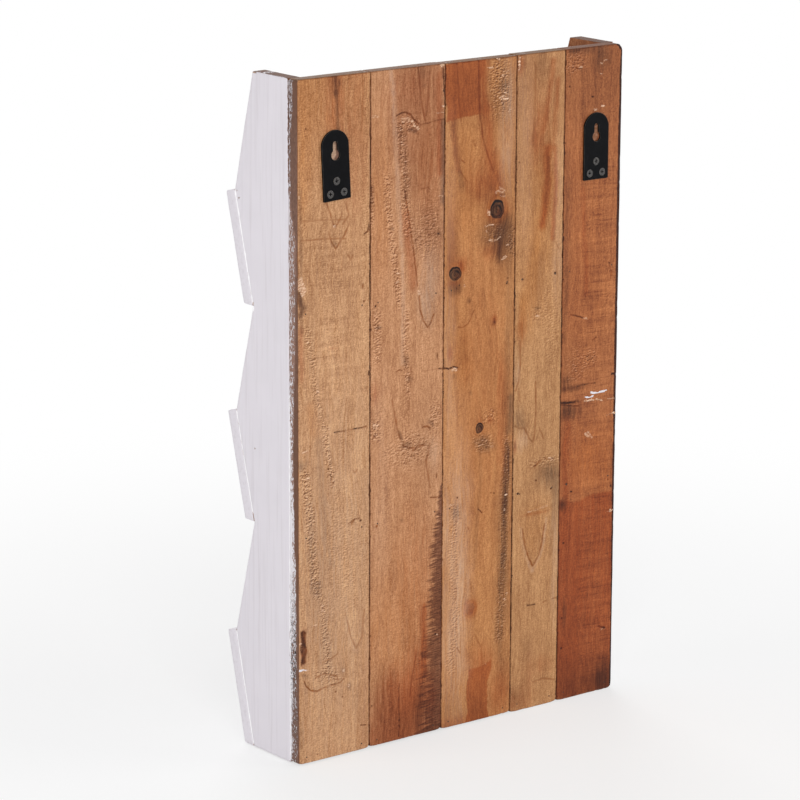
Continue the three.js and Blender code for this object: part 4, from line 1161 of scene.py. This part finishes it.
def wear_plank(points, low, high, to_joint, seed):
    """Free outer edges are worn rounder than the ones that meet the next plank, and so are feet"""
    outer = np.clip((np.abs(points[:, 0]) - RACK_HALF + 4) / 2, 0, 1)
    chips = np.clip(field(points, (4, 4, 5), seed + 6), 0, 1) ** 2
    foot_corner = np.exp(-(to_joint / 5) ** 2 - ((points[:, 2] - low[2]) / 4) ** 2)
    radius = 0.65 + 0.2 * field(points, 34, seed) + 0.2 * field(points, 8, seed + 1)
    radius += 1.1 * chips + outer + 1.8 * foot_corner
    return wear_edges(points, low, high, np.maximum(radius, EDGE_STRIP))


def paint_stripe(surface, low, on_back):
    """Dark torn grain along the second plank's right-hand joint, as seen from behind"""
    heights, reaches = zip(*DARK_STRIPE)
    reach = np.interp(surface.points[:, 2], heights, reaches) - low[0]
    into = surface.points[:, 0] - low[0]
    surface.raise_to("flame", on_back * np.clip(0.95 - 0.5 * into / reach, 0, 1) * (reach > 1))


def paint_joints(surface, facing, high, to_joint, seed):
    """Dark joints with small teeth, and a thin dark line under the worn top edge"""
    points = surface.points
    inner = np.abs(points[:, 0]) < RACK_HALF - OUTER_STRIP
    level = 1 - on_ends(facing)
    teeth = np.clip(field(points, (2.4, 2, 3.4), seed + 8) - 0.35, 0, 1)
    seam = 0.4 + 0.3 * field(points, (3, 3, 8), seed + 7) + 2.2 * teeth
    surface.draw_border("line", to_joint - seam, inner * level)
    joint_tone = 0.82 + 0.16 * field(points, (4, 4, 30), seed + 9)
    surface.raise_to("tone", inner * level * (to_joint < seam + BORDER_REACH) * joint_tone)
    to_top = high[2] - points[:, 2]
    top_line = 0.9 + 0.5 * field(points, (9, 3, 3), seed + 10)
    surface.draw_border("line", to_top - top_line, level)
    surface.raise_to("tone", 0.6 * level * (to_top < top_line + BORDER_REACH))


def paint_end_grain(surface, facing, haze, cell, seed):
    """End grain is grey with a haze of old paint"""
    end = on_ends(facing)
    surface.raise_to("grey", 0.85 * end)
    surface.raise_to("paint", end * (haze + 0.16 * field(surface.points, cell, seed)))


def paint_outer_rim(surface, facing, top, seed):
    """Dark rim of the last plank, which follows its round corner and is worn off on the edge"""
    points = surface.points
    heights, widths = zip(*DARK_RIM)
    _, corner = OUTER_CORNERS[5]
    to_rim = RACK_HALF + points[:, 0]
    over_bend = np.maximum(points[:, 2] - top + corner, 0)
    round_bend = corner - np.hypot(np.maximum(corner - to_rim, 0), over_bend)
    to_rim = np.where(to_rim < corner, round_bend, to_rim)
    rim = np.interp(points[:, 2], heights, widths) + 0.5 * field(points, (3, 3, 6), seed + 12)
    surface.draw_border("line", to_rim - rim)
    on_edge = smooth_step(-facing[:, 0], 0.6, 0.95)
    worn_off = on_edge * np.clip(0.3 + 0.3 * field(points, (4, 4, 40), seed + 13), 0, 0.7)
    surface.raise_to("tone", (0.96 - worn_off) * (to_rim < rim + BORDER_REACH))
    surface.raise_to("torn", 0.5 * on_edge)


def sink_brads(surface, on_back, dimples):
    for x, z in dimples:
        away = np.hypot(surface.points[:, 0] - x, surface.points[:, 2] - z) / DIMPLE_RADIUS
        surface.depth += DIMPLE_DEPTH * on_back * (1 - smooth_step(away, 0.8, 1.2))
        surface.raise_to("stain", 0.4 * on_back * (1 - smooth_step(away, 0.8, 1.6)))


def sink_recess(number, surface, facing, moved):
    """Recess behind the keyhole, which takes the head of the wall screw"""
    x0, z0, tilt = HANGER_PLACES[number]
    channel, tone = RECESS_PALE_AND_LIT_TONES[number]
    turn = math.radians(tilt)
    right, up = surface.points[:, 0] - x0, surface.points[:, 2] - z0
    along = right * math.sin(turn) + up * math.cos(turn)
    across = right * math.cos(turn) - up * math.sin(turn)
    away = np.hypot(across, along - np.clip(along, 0, RECESS_RISE))
    sunk = (facing[:, 1] > 0.9) & (away < RECESS_HALF)
    moved[sunk, 1] -= RECESS_DEPTH
    # The recess is painted pale: fresh wood, and painted light against its shade, with splinters
    # that carry painted light and shade
    surface.raise_to(channel, sunk)
    surface.raise_to("splinter", 0.9 * sunk)
    surface.raise_to("tone", tone * sunk)


def close_joints(moved, points, facing, low, high, to_joint):
    """The planks lean on each other below their worn arrises, so no light shows between them"""
    side = np.sign(points[:, 0] - (low[0] + high[0]) / 2)
    inner = side * points[:, 0] < RACK_HALF - OUTER_STRIP
    touching = (np.abs(facing[:, 0]) > 0.97) & inner & (to_joint < 0.5)
    middle = np.where(side > 0, high[0], low[0]) + side * JOINT_GAP / 2
    moved[touching, 0] = middle[touching]


def make_plank(number, material):
    node_name = PLANK_NODES[number - 1]
    low, high = node_box(node_name)
    dimples = brad_places(low, high)
    bm = plank_blank(number, low, high, dimples)
    points = vertices_of(bm)
    seed = 3.7 * number
    to_joint = np.minimum(points[:, 0] - low[0], high[0] - points[:, 0])
    points, facing = wear_plank(points, low, high, to_joint, seed)

    surface = Surface(points, seed)
    on_back = smooth_step(facing[:, 1], 0.2, 0.75)
    surface.paint_marks(PLANK_MARKS[number], on_back)
    for plank, *knot in KNOTS:
        if plank == number:
            surface.paint_knot(*knot, on_back)
    torn = surface.channels["torn"]
    surface.depth += torn * (0.22 + 0.35 * field(points, (2.6, 2.6, 1.6), seed + 2))
    if number == 2:
        paint_stripe(surface, low, on_back)
    paint_joints(surface, facing, high, to_joint, seed)
    paint_end_grain(surface, facing, 0.36, (14, 4, 4), seed + 11)
    if number == 1:
        paint_outer_edge(surface, facing)
    if number == 5:
        paint_outer_rim(surface, facing, high[2], seed)

    # Slow waves of a hand-fed board
    surface.depth += 0.12 + 0.12 * field(points, (30, 30, 90), seed + 5)
    sink_brads(surface, on_back, dimples)
    moved = surface.sunk(facing)
    close_joints(moved, points, facing, low, high, to_joint)
    if number in HANGER_PLACES:
        sink_recess(number, surface, facing, moved)
    if number in OUTER_CORNERS:
        round_corner(moved, *OUTER_CORNERS[number], high[2])
    board = write_board(bm, surface, facing, f"{node_name}_sawn", [material], node_name,
                        moved)
    if number == 1:
        edge_paint = flaking_paint("flaking_edge_paint", "#e6e1e5", "#947060", "#4a352f")
        board.data.materials.append(edge_paint)
        for polygon in board.data.polygons:
            if polygon.normal.x > 0.75:
                polygon.material_index = 1


def round_corner(points, direction, corner, top):
    """Squeezes a square outer top corner into a quarter round, seen from behind"""
    centre_x = direction * (RACK_HALF - corner)
    across = (points[:, 0] - centre_x) * direction
    above = points[:, 2] - (top - corner)
    inside = (across > 0) & (above > 0)
    share = np.maximum(across, above) / np.maximum(np.hypot(across, above), 1e-6)
    points[inside, 0] = centre_x + direction * (across * share)[inside]
    points[inside, 2] = top - corner + (above * share)[inside]


# The first plank's outer edge by height: how far back the paint is whole, how far back it is
# flecked, how much of it is left there, the share of whole flakes, how dark the wood is, and how
# dark the band along the back
EDGE_PAINT = [
    (0, 2.6, 13, 0.36, 0.2, 0.5, 0.6), (55, 3.2, 13, 0.36, 0.3, 0.6, 0.6),
    (78, 3.4, 12.5, 0.36, 0.5, 0.6, 0.6), (95, 2.8, 12, 0.44, 1.0, 0.6, 0.6),
    (118, 2.4, 12, 0.5, 1.0, 0.5, 0.6), (150, 2.4, 12, 0.58, 0.8, 0.35, 0.8),
    (172, 5.0, 11.5, 0.62, 0.5, 0.3, 0.8), (205, 5.5, 11, 0.62, 0.1, 0.3, 0.8),
    (240, 4.5, 9, 0.6, 0, 0.3, 0.8), (290, 2.0, 8, 0.58, 0, 0.3, 0.8),
    (330, 1.2, 7.5, 0.5, 0, 0.25, 0.8), (362, 0.8, 8, 0.46, 0, 0.25, 0.75),
    (398, 0.5, 10, 0.4, 0, 0.25, 0.6), (440, 0.5, 11, 0.38, 0, 0.2, 0.5),
    (540, 0.4, 12.5, 0.36, 0, 0.2, 0.4), (570, 1.2, 5, 0.36, 0, 0.25, 0.35),
    (605, 0.3, 5, 0.44, 0.1, 0.5, 0.4), (640, 0.3, 4.5, 0.42, 0.2, 0.6, 0.5),
    (675, 0.3, 8, 0.44, 0.3, 0.7, 0.75), (700, 0.3, 8, 0.46, 0.3, 0.7, 0.8),
]


def paint_outer_edge(surface, facing):
    """The first plank's outer edge: paint whole near the side board, flecked behind it, and bare
    dark wood along the back"""
    points = surface.points
    on_edge = smooth_step(facing[:, 0], 0.3, 0.8)
    behind = points[:, 1] - PLANK_FRONT + 0.5 * field(points, (5, 5, 9), 8.1)
    heights, *columns = zip(*EDGE_PAINT)
    whole, flecked, left, flakes, dark, band = (
        np.interp(points[:, 2], heights, column) for column in columns)
    left = left + 0.12 * (0.5 - behind / flecked)
    fading = 1 - smooth_step(behind, flecked - 1.0, flecked + 0.6)
    near = 1 - smooth_step(behind, whole - 0.6, whole + 0.8)
    surface.raise_to("paint", on_edge * np.maximum(near, left * fading))
    surface.raise_to("torn", on_edge * flakes * fading)
    surface.raise_to("stain", on_edge * np.maximum(dark * fading, 0.5 * (1 - fading)))
    surface.draw_border("line", flecked - behind, on_edge)
    surface.raise_to("tone", on_edge * np.where(behind > flecked - BORDER_REACH, band, 0.0))


# Side boards and front boards


# Reach of the straight board that a side board is carried out from, the strip at its back and at
# its front that keeps its depth, and how close to a chip its cells are finer
STRAIGHT_REACH = 60.0
KEPT_STRIP = 3.0
CHIP_REACH = 4.0


def reach_at(height, top_reach):
    """Reach of the side boards' front edge, with its crests a little rounded"""
    reaches, heights = zip(*SIDE_STEPS, (top_reach, RACK_TOP))
    steps = [np.interp(height + shift, heights, reaches) for shift in (-1.2, -0.4, 0.4, 1.2)]
    return np.mean(steps, axis=0)


# Chips on the side that faces +X, as on the planks but with paths as y, z pairs
SIDE_MARKS = [
    ("pit", [
        (1.1, 0.8, 0.9, (-38.6, 569.9)), (0.7, 0.7, 0.6, (-41.4, 576.7)),
        (0.7, 0.7, 0.7, (-13.3, 317.4)),
    ]),
    ("crack", [
        (0.8, 1.6, 0.6, (-15, 466.5), (-15, 464)), (1.4, 3.2, 0.55, (-18.3, 246.5), (-18.4, 242)),
        (1.6, 0.8, 0.7, (-12.5, 699), (-9, 699.4)),
    ]),
]


# How far the paint is scuffed off along the near side board's back edge, by height
SCUFFS = [(60, 0), (90, 0.7), (165, 0.7), (190, 0), (575, 0), (600, 1)]


def make_side(name, outward, material):
    node_name = f"side_board_{name}"
    low, high = node_box(node_name)
    low = np.array([low[0], PLANK_FRONT - STRAIGHT_REACH, low[2]])
    high = np.array([high[0], PLANK_FRONT, high[2]])
    bm = blank_board(low, high, SIDE_CELL)

    # The straight front edge is carried out to the stepped one, and the back edge stays
    def carried(y, z):
        share = np.clip((PLANK_FRONT - KEPT_STRIP - y) / (STRAIGHT_REACH - 2 * KEPT_STRIP), 0, 1)
        return y - share * (reach_at(z, TOP_REACH[name]) - STRAIGHT_REACH)

    def near_chip(co):
        spots = [spot for _, marks in SIDE_MARKS for mark in marks for spot in mark[3:]]
        return outward * co.x > RACK_HALF - 1 and any(
            abs(co.z - z) < CHIP_REACH and abs(carried(co.y, co.z) - y) < CHIP_REACH
            for y, z in spots)

    if outward > 0:
        refine(bm, near_chip, 3)
    points = vertices_of(bm)
    seed = 30.0 + outward
    radius = 0.9 + 0.3 * field(points, 30, seed) + 0.2 * field(points, 7, seed + 1)
    points, facing = wear_edges(points, low, high, np.maximum(radius, EDGE_STRIP))
    points[:, 1] = carried(points[:, 1], points[:, 2])

    surface = Surface(points, seed)
    outer = smooth_step(outward * facing[:, 0], -0.05, 0.35)
    front_edge = smooth_step(-facing[:, 1], 0.4, 0.8)
    rubbed = smooth_step(1 - np.max(np.abs(facing), axis=1), 0.1, 0.3)
    wear = 0.5 + 0.5 * field(points, (9, 9, 16), seed + 2)
    coat = np.maximum(outer, 0.85 * front_edge)
    coat -= rubbed * wear * (0.12 + 0.45 * front_edge * (1 - outer))
    surface.channels["paint"] = np.clip(coat - 0.5 * on_ends(facing), 0, 1)
    paint_end_grain(surface, facing, 0.38, (14, 14, 4), seed + 4)
    surface.raise_to("red", 0.5 * (1 - outer))
    if outward > 0:
        scuffed = smooth_step(points[:, 1], PLANK_FRONT - 4.0, PLANK_FRONT - 1.0) * outer
        scuffed *= np.interp(points[:, 2], *zip(*SCUFFS))
        surface.channels["paint"] -= 0.5 * scuffed
        surface.raise_to("stain", 0.6 * scuffed)
        surface.paint_marks(SIDE_MARKS, outer, across=1)
    surface.depth += 0.3 + 0.15 * field(points, (26, 26, 80), seed + 3)
    write_board(bm, surface, facing, f"{node_name}_painted", [material], node_name)


def tier_steps(index):
    """Reach and height of the foot and of the crest of a tier, the lowest first"""
    return SIDE_STEPS[2 * index:2 * index + 2]


def make_front_board(index, material):
    tier = TIERS[index]
    node_name = f"front_board_{tier}"
    (foot_reach, foot), (crest_reach, crest) = tier_steps(index)
    run, rise = crest_reach - foot_reach, crest - foot
    length = math.hypot(run, rise)
    lean, stand = run / length, rise / length
    low = np.array([-RACK_HALF, -BOARD_SEAT - BOARD_THICKNESS, 0.0])
    high = np.array([RACK_HALF, -BOARD_SEAT, length])
    bm = blank_board(low, high, FRONT_CELL)
    points = vertices_of(bm)
    seed = 50.0 + 3 * index
    depth_share = (points[:, 1] - low[1]) / (high[1] - low[1])
    lip = 1 - smooth_step(depth_share, 0.05, 0.25)
    radius = 0.9 + 0.3 * field(points, 40, seed) + 0.2 * field(points, 9, seed + 1) + 0.7 * lip
    points, facing = wear_edges(points, low, high, np.maximum(radius, EDGE_STRIP))
    surface = Surface(points, seed)
    outer = smooth_step(-facing[:, 1], -0.05, 0.4)
    ends = smooth_step(np.abs(facing[:, 0]), 0.4, 0.8)
    level = smooth_step(np.abs(facing[:, 2]), 0.4, 0.8)
    rubbed = smooth_step(1 - np.max(np.abs(facing), axis=1), 0.08, 0.3)
    wear = 0.5 + 0.5 * field(points, (18, 9, 7), seed + 2)
    streaks = 0.5 + 0.5 * field(points, (60, 8, 3), seed + 4)
    near_edge = np.exp(-np.minimum(points[:, 2], length - points[:, 2]) / 9)
    thin = outer * np.clip(streaks * (0.35 + 0.75 * near_edge) - 0.14, 0, 1)
    by_side = smooth_step(np.abs(points[:, 0]), RACK_HALF - 5, RACK_HALF - 2)
    bare = rubbed * wear * 0.9 + 0.8 * thin
    coat = np.maximum.reduce([outer, ends, 0.8 * level]) - bare * (1 - by_side)
    surface.channels["paint"] = np.clip(coat, 0, 1)
    surface.depth += 0.15 + 0.15 * field(points, (90, 26, 26), seed + 3)
    moved = surface.sunk(facing)

    # The foot is sawn level, so the slope starts later the further out it lies
    out = -moved[:, 1]
    slope = moved[:, 2] + (out * lean / stand) * (1 - moved[:, 2] / length)
    reach = foot_reach + slope * lean + out * stand
    height = foot + slope * stand - out * lean
    placed = np.stack([moved[:, 0], PLANK_FRONT - reach, height], axis=1)
    write_board(bm, surface, facing, f"{node_name}_painted", [material], node_name,
                placed)


def make_floor_board(index, material):
    node_name = f"pocket_floor_{TIERS[index]}"
    low, high = node_box(node_name)
    bm = blank_board(low, high, FLOOR_CELL)
    points = vertices_of(bm)
    seed = 70.0 + index
    radius = np.maximum(0.9 + 0.25 * field(points, 20, seed), EDGE_STRIP)
    points, facing = wear_edges(points, low, high, radius)
    surface = Surface(points, seed)
    surface.raise_to("saw", 0.6)
    surface.depth += 0.1 + 0.1 * field(points, (60, 20, 20), seed + 1)
    moved = surface.sunk(facing)

    # The front edge is planed to the slope of the front board
    (foot_reach, foot), (crest_reach, crest) = tier_steps(index)
    slope = (crest_reach - foot_reach) / (crest - foot)
    limit = PLANK_FRONT - (foot_reach + (moved[:, 2] - foot) * slope - BOARD_SEAT)
    share = (high[1] - moved[:, 1]) / (high[1] - low[1])
    moved[:, 1] = high[1] - share * (high[1] - limit)
    write_board(bm, surface, facing, f"{node_name}_sawn", [material], node_name, moved)


# Where a metal piece's facets meet: the least angle of a seam that stays, of one that shows as an
# edge, and of a rim that is eased
SEAM_ANGLE = math.radians(0.5)
EDGE_ANGLE = math.radians(20)
RIM_ANGLE = math.radians(30)


def eased_copy(node_name, suffix, width, material, rim_highlight_material, hollow_shade_material=None):
    """Copy of a metal CAD node with its sharp rims broken by a small chamfer. The rims can have a
    material of their own, lighter as a painted highlight, and all that lies below the piece's
    outer face a dark one as painted shade."""
    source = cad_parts[node_name]
    bm = bmesh.new()
    bm.from_mesh(source.data)
    bmesh.ops.remove_doubles(bm, verts=bm.verts, dist=1e-6)
    bmesh.ops.dissolve_limit(bm, angle_limit=SEAM_ANGLE, verts=bm.verts, edges=bm.edges)
    rims = [e for e in bm.edges if len(e.link_faces) == 2 and e.calc_face_angle() > RIM_ANGLE]
    made = bmesh.ops.bevel(bm, geom=rims, offset=width / METRE, offset_type="OFFSET",
                           affect="EDGES", segments=2, profile=0.5, material=-1,
                           clamp_overlap=True)
    # The chamfered rims take the rim material, a painted highlight
    for face in made["faces"]:
        face.material_index = 1
    below = max(v.co.y for v in bm.verts) - 1.5 * width / METRE
    # Faces below the outer face take the hollow material, painted shade
    for face in bm.faces:
        if hollow_shade_material is not None and face.calc_center_median().y < below:
            face.material_index = 2
    for edge in bm.edges:
        edge.smooth = len(edge.link_faces) == 2 and edge.calc_face_angle() < EDGE_ANGLE
    choices = [choice for choice in (material, rim_highlight_material, hollow_shade_material) if choice is not None]
    copy = new_piece(bm, node_name + suffix, choices)
    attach(copy, "root")
    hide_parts(node_name)
    return copy


# Beads of paint: length of their cells, how far they stand out on each side, how far inside the
# rack's outer faces they run, and how wide they are at the front and at the back
BEAD_CELL = 1.5
BEAD_STAND = 0.93
BEAD_INSET = 0.95
FRONT_BEAD = 1.7
BACK_BEAD = 1.1


def paint_bead(name, start, end, width, seed, material):
    """Run of thick paint along a joint, swelling and thinning as a brush leaves it. Width is how
    far it reaches along the surface."""
    start, end = np.array(start, float), np.array(end, float)
    length = np.linalg.norm(end - start)
    bm = bmesh.new()
    bmesh.ops.create_cone(bm, cap_ends=True, segments=10, radius1=1.0, radius2=1.0, depth=length)
    cut_along(bm, 2, round(length / BEAD_CELL))
    points = vertices_of(bm)
    run = points[:, 2] + length / 2
    ends = np.clip(np.minimum(run, length - run) / 3, 0.1, 1)
    spots = np.stack([run, 0 * run, 0 * run], axis=1)
    swell = 0.75 + 0.25 * field(spots, 4, seed) + 0.2 * field(spots, 13, seed + 1)
    reach = np.clip(swell, 0.3, 1) * ends
    along = (end - start) / length
    across = np.cross(along, (1, 0, 0))
    side_shift = 0.25 * field(spots, 6, seed + 2)
    aside = width * reach * points[:, 1] + side_shift
    placed = start + run[:, None] * along + aside[:, None] * across
    placed[:, 0] += BEAD_STAND * reach * points[:, 0]
    move_vertices(bm, placed)
    bmesh.ops.recalc_face_normals(bm, faces=bm.faces)
    bead = new_piece(bm, name, [material])
    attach(bead, "root")


def paint_beads(material):
    """Beads where the side boards meet the front boards and the planks, and a drip under a board"""
    bead_line = RACK_HALF - BEAD_INSET
    for hand, outward in HANDS:
        x = outward * bead_line
        for index, tier in enumerate(TIERS):
            (foot_reach, foot), (crest_reach, crest) = tier_steps(index)
            share = 0.075 if tier == "middle" else 0.01
            first_reach = foot_reach + share * (crest_reach - foot_reach)
            start = (x, PLANK_FRONT - first_reach - 0.1, foot + share * (crest - foot))
            end = (x, PLANK_FRONT - crest_reach - 0.1, crest)
            seed = 11.0 * index + outward
            paint_bead(f"paint_bead_{tier}_{hand}", start, end, FRONT_BEAD, seed, material)
        start = (x, PLANK_FRONT + 0.3, 2.0)
        end = (x, PLANK_FRONT + 0.3, 385.0)
        paint_bead(f"paint_bead_back_{hand}", start, end, BACK_BEAD, 60.0 + outward, material)
    (foot_reach, foot), _ = tier_steps(2)
    start = (bead_line, PLANK_FRONT - foot_reach + 0.8, foot + 2.0)
    end = (bead_line, PLANK_FRONT - foot_reach + 0.4, foot - 10.0)
    paint_bead("paint_drip_top_right", start, end, FRONT_BEAD, 90.0, material)


# Build

for index, looks in enumerate(PLANK_WOOD):
    make_plank(index + 1, sawn_wood(*looks))

side_wood = sawn_wood("painted_side_softwood", "#b98a62", "#96633f", "#6f432a", (900, 10, 10),
                      (800, 0), 5, brush=(5, 5, 120))
for hand, outward in HANDS:
    make_side(hand, outward, side_wood)
board_wood = sawn_wood("painted_board_softwood", "#bf9168", "#a4744c", "#7c4f32", (40, 700, 30),
                       (0, 600), 5, brush=(130, 5, 5))
floor_wood = sawn_wood("raw_floor_softwood", "#c79a70", "#ad7d55", "#86593a", (400, 400, 60),
                       (0, 500), 5)
for index in range(len(TIERS)):
    make_front_board(index, board_wood)
for index in range(len(TIERS)):
    make_floor_board(index, floor_wood)

paint_beads(highlighted_thick_paint())

black = coated_steel("satin_black_coated_steel_and_hollow_shade", "#060608", "#0e0e11", 0.06)
# Lighter rim coating of the plates: rubbed coating and a painted highlight
rubbed_and_lit_black_rim = coated_steel("rubbed_black_coated_steel_with_painted_highlight", "#26241f", "#6a6258", 0.5)
zinc = plated_steel("zinc_plated_steel", "#2f2e2e", "#5e5b59")
# Lighter rims of the screw heads: a painted highlight
zinc_rim_highlight = plated_steel("zinc_plated_steel_painted_rim_highlight", "#5f5c5a", "#8a8683")
wire = dull_wire()
for hand, outward in HANDS:
    plate = eased_copy(f"hanger_plate_{hand}", "_coated", 0.35, black, rubbed_and_lit_black_rim)
    for number in (1, 2, 3):
        # The screws' hollows take the satin black as painted shade
        screw = eased_copy(f"hanger_screw_{hand}_{number}", "_plated", 0.12, zinc, zinc_rim_highlight, black)
for name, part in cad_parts.items():
    if "_brad_" in name:
        part.data.materials.clear()
        part.data.materials.append(wire)


# Stage, light and camera

# The ground reaches this far each way, and lies so far below the rack that their faces don't meet
GROUND_REACH = 6.0
GROUND_DROP = 0.0006

# Distance from the rack, in mm, where the ground starts to fade to white and where it is white
WHITE_FROM = 350.0
WHITE_AT = 1300.0

# Lamps: name, place, the point that it faces, width in metres and power in watts
LAMPS = [
    ("key_softbox", (1.6, 2.6, 1.4), (0, 0, 0.3), 1.6, 45),
    ("fill_softbox", (-2.2, 2.0, 1.3), (0, 0, 0.35), 1.6, 24),
    ("front_softbox", (-1.4, -2.6, 2.0), (0, 0, 0.35), 1.8, 42),
    ("side_softbox", (2.8, -0.6, 1.2), (0, 0, 0.35), 1.6, 16),
]


def rays_past_rack(tree):
    """1 for what the camera sees past the rack, also in a mirror or through glass, and 0 for the
    light on it"""
    rays = add(tree, "LightPath").node.outputs
    seen = add(tree, "Math", {0: rays["Is Camera Ray"], 1: rays["Is Glossy Ray"]},
               operation="MAXIMUM")
    return add(tree, "Math", {0: seen, 1: rays["Is Transmission Ray"]}, operation="MAXIMUM")


def make_ground():
    """Pale ground that runs out into the white backdrop"""
    bm = bmesh.new()
    bmesh.ops.create_grid(bm, x_segments=1, y_segments=1, size=GROUND_REACH)
    material, tree, mm = new_material("pale_ground")
    away = add(tree, "VectorMath", {0: mm}, out="Value", operation="LENGTH")
    far = add(tree, "MapRange", {"Value": away, "From Min": WHITE_FROM, "From Max": WHITE_AT},
              interpolation_type="SMOOTHSTEP")
    share = add(tree, "Math", {0: far, 1: 0.4, 2: 0.6}, operation="MULTIPLY_ADD")
    blank = add(tree, "Math", {0: rays_past_rack(tree), 1: share}, operation="MULTIPLY")
    matt = add(tree, "BsdfDiffuse", {"Color": grey(0.93)})
    white = add(tree, "Emission", {"Color": grey(1.0), "Strength": 1.0})
    both = add(tree, "MixShader", {0: blank, 1: matt, 2: white})
    add(tree, "OutputMaterial", {"Surface": both})
    ground = new_piece(bm, "studio_ground", [material])
    ground.location.z = -GROUND_DROP


def make_world():
    """Even pale light from all round, and plain white where the camera looks past the rack"""
    world = bpy.data.worlds.new("pale_studio")
    bpy.context.scene.world = world
    world.use_nodes = True
    tree = world.node_tree
    tree.nodes.clear()
    strength = add(tree, "MapRange", {"Value": rays_past_rack(tree), "To Min": 0.40, "To Max": 1.0})
    light = add(tree, "Background", {"Color": grey(1.0), "Strength": strength})
    add(tree, "OutputWorld", {"Surface": light})


def add_lamp(name, place, aim, size, power):
    lamp = bpy.data.lights.new(name, "AREA")
    lamp.shape = "SQUARE"
    lamp.size = size
    lamp.energy = power
    holder = bpy.data.objects.new(name, lamp)
    holder.location = place
    holder.rotation_euler = (Vector(aim) - Vector(place)).to_track_quat("-Z", "Y").to_euler()
    bpy.context.scene.collection.objects.link(holder)


def make_camera():
    eye, target = Vector(CAMERA_EYE) / METRE, Vector(CAMERA_TARGET) / METRE
    back = (eye - target).normalized()
    level = Vector((-back.y, back.x, 0)).normalized()
    rise = back.cross(level)
    roll = math.radians(CAMERA_ROLL)
    across = math.cos(roll) * level + math.sin(roll) * rise
    above = -math.sin(roll) * level + math.cos(roll) * rise
    data = bpy.data.cameras.new("studio_camera")
    data.sensor_width = SENSOR_WIDTH
    data.lens = CAMERA_LENS
    data.clip_start = 0.05
    data.clip_end = 50.0
    camera = bpy.data.objects.new("studio_camera", data)
    turn = Matrix((across, above, back)).transposed()
    camera.matrix_world = Matrix.Translation(eye) @ turn.to_4x4()
    bpy.context.scene.collection.objects.link(camera)
    bpy.context.scene.camera = camera


make_ground()
make_world()
for lamp in LAMPS:
    add_lamp(*lamp)
make_camera()

bpy.context.scene.view_settings.view_transform = "Standard"
